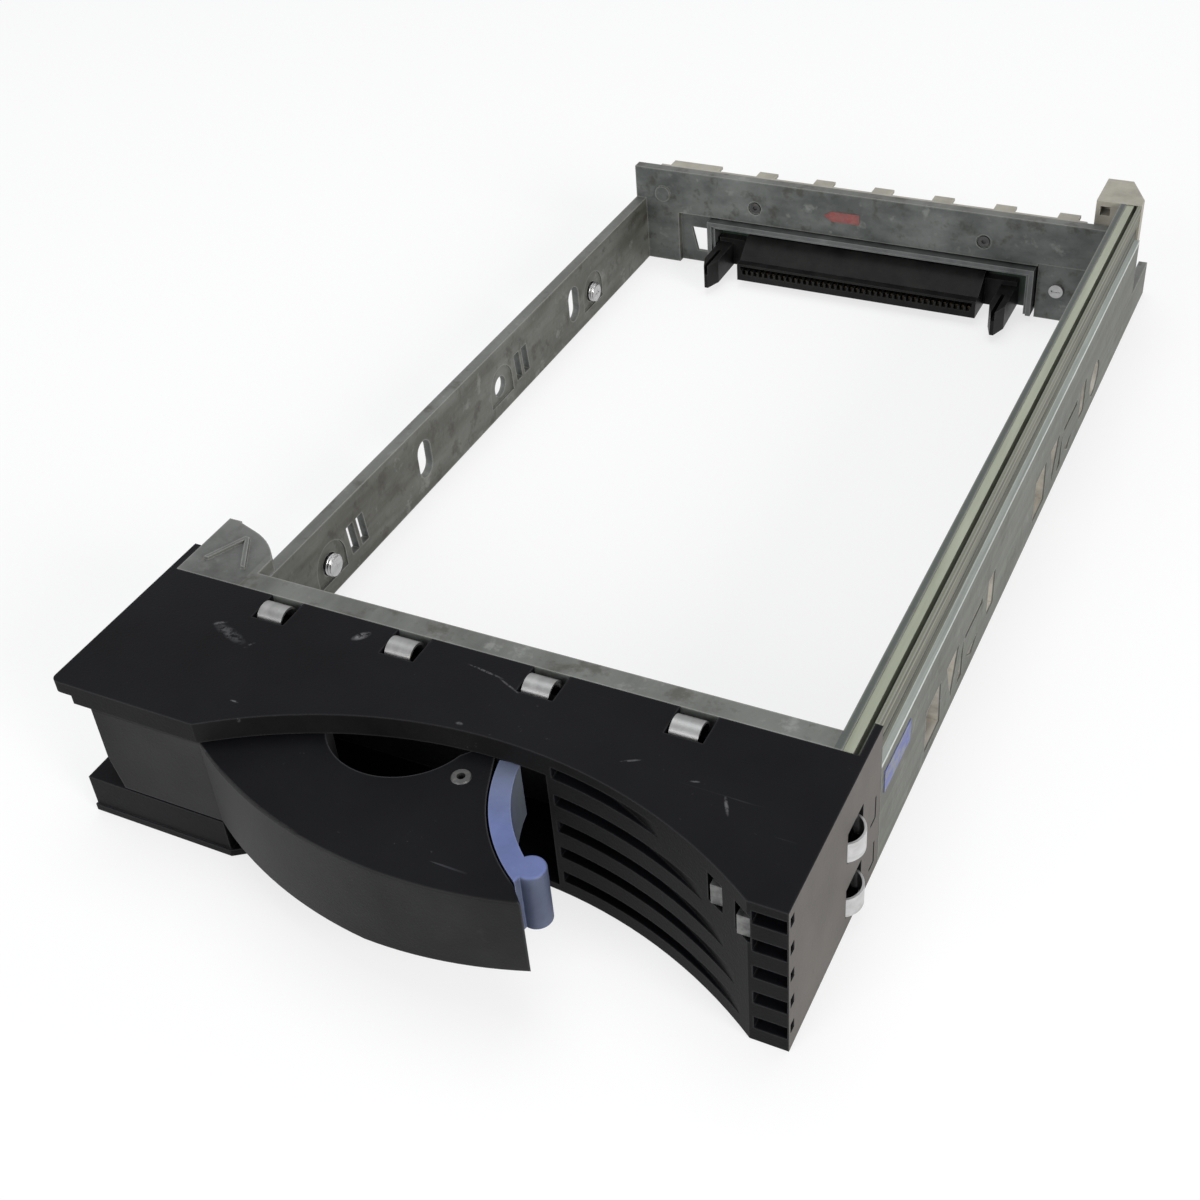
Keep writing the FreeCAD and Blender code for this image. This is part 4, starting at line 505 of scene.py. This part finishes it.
# ---------------------------------------------------------------- drive screw threads
def thread_row(along, core):
    """The thread's surface at a share along it: how far past the tip, and its radius, round it."""
    fade = min(1.0, CREST_FADE * (1.0 - along))

    def place(turn):
        phase = (along * THREAD_REACH / THREAD_PITCH + turn) % 1.0
        tooth = 1.0 - abs(2.0 * phase - 1.0)
        return -THREAD_REACH * (1.0 - along), core + THREAD_CREST * tooth * fade
    return place


def tip_row(share, rise, core):
    """The crossed tip's surface, at a share of the core's radius, in the same way."""
    def place(turn):
        cross = 0.5 + 0.5 * math.cos(8 * math.pi * turn)
        dent = CROSS_DENT * max(0.0, cross - CROSS_EDGE) / (1.0 - CROSS_EDGE)
        return rise - (dent if share < TIP_RINGS[0][0] else 0.0), core * share
    return place


def make_thread(number):
    """The cut thread and crossed tip on the end of one drive screw that stands in the bay."""
    low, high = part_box(f"drive_screw_{number}")
    on_left = low.x < 0.0
    tip, sign, core = (high.x, 1.0, LEFT_CORE) if on_left else (low.x, -1.0, RIGHT_CORE)
    y, z = (low.y + high.y) / 2, (low.z + high.z) / 2
    rows = [thread_row(row / THREAD_ROWS, core) for row in range(THREAD_ROWS + 1)]
    rows += [tip_row(share, rise, core) for share, rise in TIP_RINGS]

    mesh = bmesh.new()
    rings = []
    for place in rows:
        ring = []
        for step in range(THREAD_STEPS):
            past, radius = place(step / THREAD_STEPS)
            angle = 2 * math.pi * step / THREAD_STEPS
            ring.append(mesh.verts.new((tip + sign * past, y + radius * math.cos(angle),
                                        z + radius * math.sin(angle))))
        rings.append(ring)
    for first, second in zip(rings, rings[1:]):
        for step in range(THREAD_STEPS):
            after = (step + 1) % THREAD_STEPS
            mesh.faces.new((first[step], first[after], second[after], second[step]))
    mesh.faces.new(rings[-1])
    bmesh.ops.recalc_face_normals(mesh, faces=mesh.faces)
    data = bpy.data.meshes.new(f"drive_thread_{number}")
    mesh.to_mesh(data)
    mesh.free()
    for face in data.polygons:
        face.use_smooth = True
    data.materials.append(MATERIALS["thread_steel"])
    piece = bpy.data.objects.new(f"drive_thread_{number}", data)
    bpy.context.scene.collection.objects.link(piece)
    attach(piece, "tray")


for number in range(1, 5):
    make_thread(number)


# ---------------------------------------------------------------- floor, light and camera
def seen_rays(tree):
    """1 for rays from the camera, off glossy surfaces and through clear ones."""
    path = tree.nodes.new("ShaderNodeLightPath")
    total = path.outputs["Is Camera Ray"]
    for name in ("Is Glossy Ray", "Is Transmission Ray"):
        either = tree.nodes.new("ShaderNodeMath")
        either.operation = "MAXIMUM"
        tree.links.new(total, either.inputs[0])
        tree.links.new(path.outputs[name], either.inputs[1])
        total = either.outputs[0]
    return total


def make_floor():
    """A pale floor that keeps the object's shadow."""
    mesh = bpy.data.meshes.new("floor")
    mesh.from_pydata([(x * FLOOR_HALF, y * FLOOR_HALF, 0)
                      for x, y in ((-1, -1), (1, -1), (1, 1), (-1, 1))], [], [(0, 1, 2, 3)])
    floor = bpy.data.objects.new("floor", mesh)
    bpy.context.scene.collection.objects.link(floor)
    floor.location.z = -FLOOR_DROP
    s = Shader("floor", 0.9, specular=0.05)
    s.colour(s.ramp(s.noise(3, 2.0), (0.3, (0.90, 0.90, 0.90)), (0.7, (0.93, 0.93, 0.93))))
    glow = s.node("Emission")
    glow.inputs["Color"].default_value = (1, 1, 1, 1)
    glow.inputs["Strength"].default_value = 1.0
    blend = s.node("MixShader")
    s.feed(blend.inputs, (s.maths("MULTIPLY", seen_rays(s.tree), FLOOR_GLOW),
                          s.bsdf.outputs[0], glow.outputs[0]))
    s.link(blend.outputs[0], s.tree.nodes["Material Output"].inputs["Surface"])
    mesh.materials.append(s.material)


def make_world():
    """A dim, slightly blue world that looks white to the camera."""
    world = bpy.data.worlds.new("studio")
    bpy.context.scene.world = world
    world.use_nodes = True
    tree = world.node_tree
    background = tree.nodes["Background"]
    background.inputs["Color"].default_value = (0.93, 0.96, 1.0, 1.0)
    background.inputs["Strength"].default_value = WORLD_STRENGTH
    seen = tree.nodes.new("ShaderNodeBackground")
    seen.inputs["Color"].default_value = (1, 1, 1, 1)
    seen.inputs["Strength"].default_value = 1.0
    mix = tree.nodes.new("ShaderNodeMixShader")
    tree.links.new(seen_rays(tree), mix.inputs[0])
    tree.links.new(background.outputs[0], mix.inputs[1])
    tree.links.new(seen.outputs[0], mix.inputs[2])
    tree.links.new(mix.outputs[0], tree.nodes["World Output"].inputs["Surface"])


def make_lamp(name, place, size, power, colour):
    data = bpy.data.lights.new(name, "AREA")
    data.shape = "DISK"
    data.size = size
    data.energy = power
    data.color = colour
    lamp = bpy.data.objects.new(name, data)
    bpy.context.scene.collection.objects.link(lamp)
    lamp.location = place
    lamp.rotation_euler = (-Vector(place)).to_track_quat("-Z", "Y").to_euler()


def make_camera():
    """The photograph's view: from the front right, high up, rolled a little."""
    turn, height, roll = map(math.radians, (CAMERA_TURN, CAMERA_HEIGHT, CAMERA_ROLL))
    back = Vector((math.sin(turn) * math.cos(height), -math.cos(turn) * math.cos(height),
                   math.sin(height)))
    right = (-back).cross(Vector((0, 0, 1))).normalized()
    up = right.cross(-back)
    side = math.cos(roll) * right + math.sin(roll) * up
    rise = -math.sin(roll) * right + math.cos(roll) * up
    data = bpy.data.cameras.new("camera")
    data.sensor_width = CAMERA_SENSOR
    data.lens = CAMERA_LENS
    data.clip_start = CAMERA_NEAR
    camera = bpy.data.objects.new("camera", data)
    bpy.context.scene.collection.objects.link(camera)
    matrix = Matrix((side, rise, back)).transposed().to_4x4()
    matrix.translation = Vector(CAMERA_PLACE)
    camera.matrix_world = matrix
    bpy.context.scene.camera = camera


make_floor()
make_world()
for lamp in LAMPS:
    make_lamp(*lamp)
make_camera()
bpy.context.scene.view_settings.view_transform = "Standard"
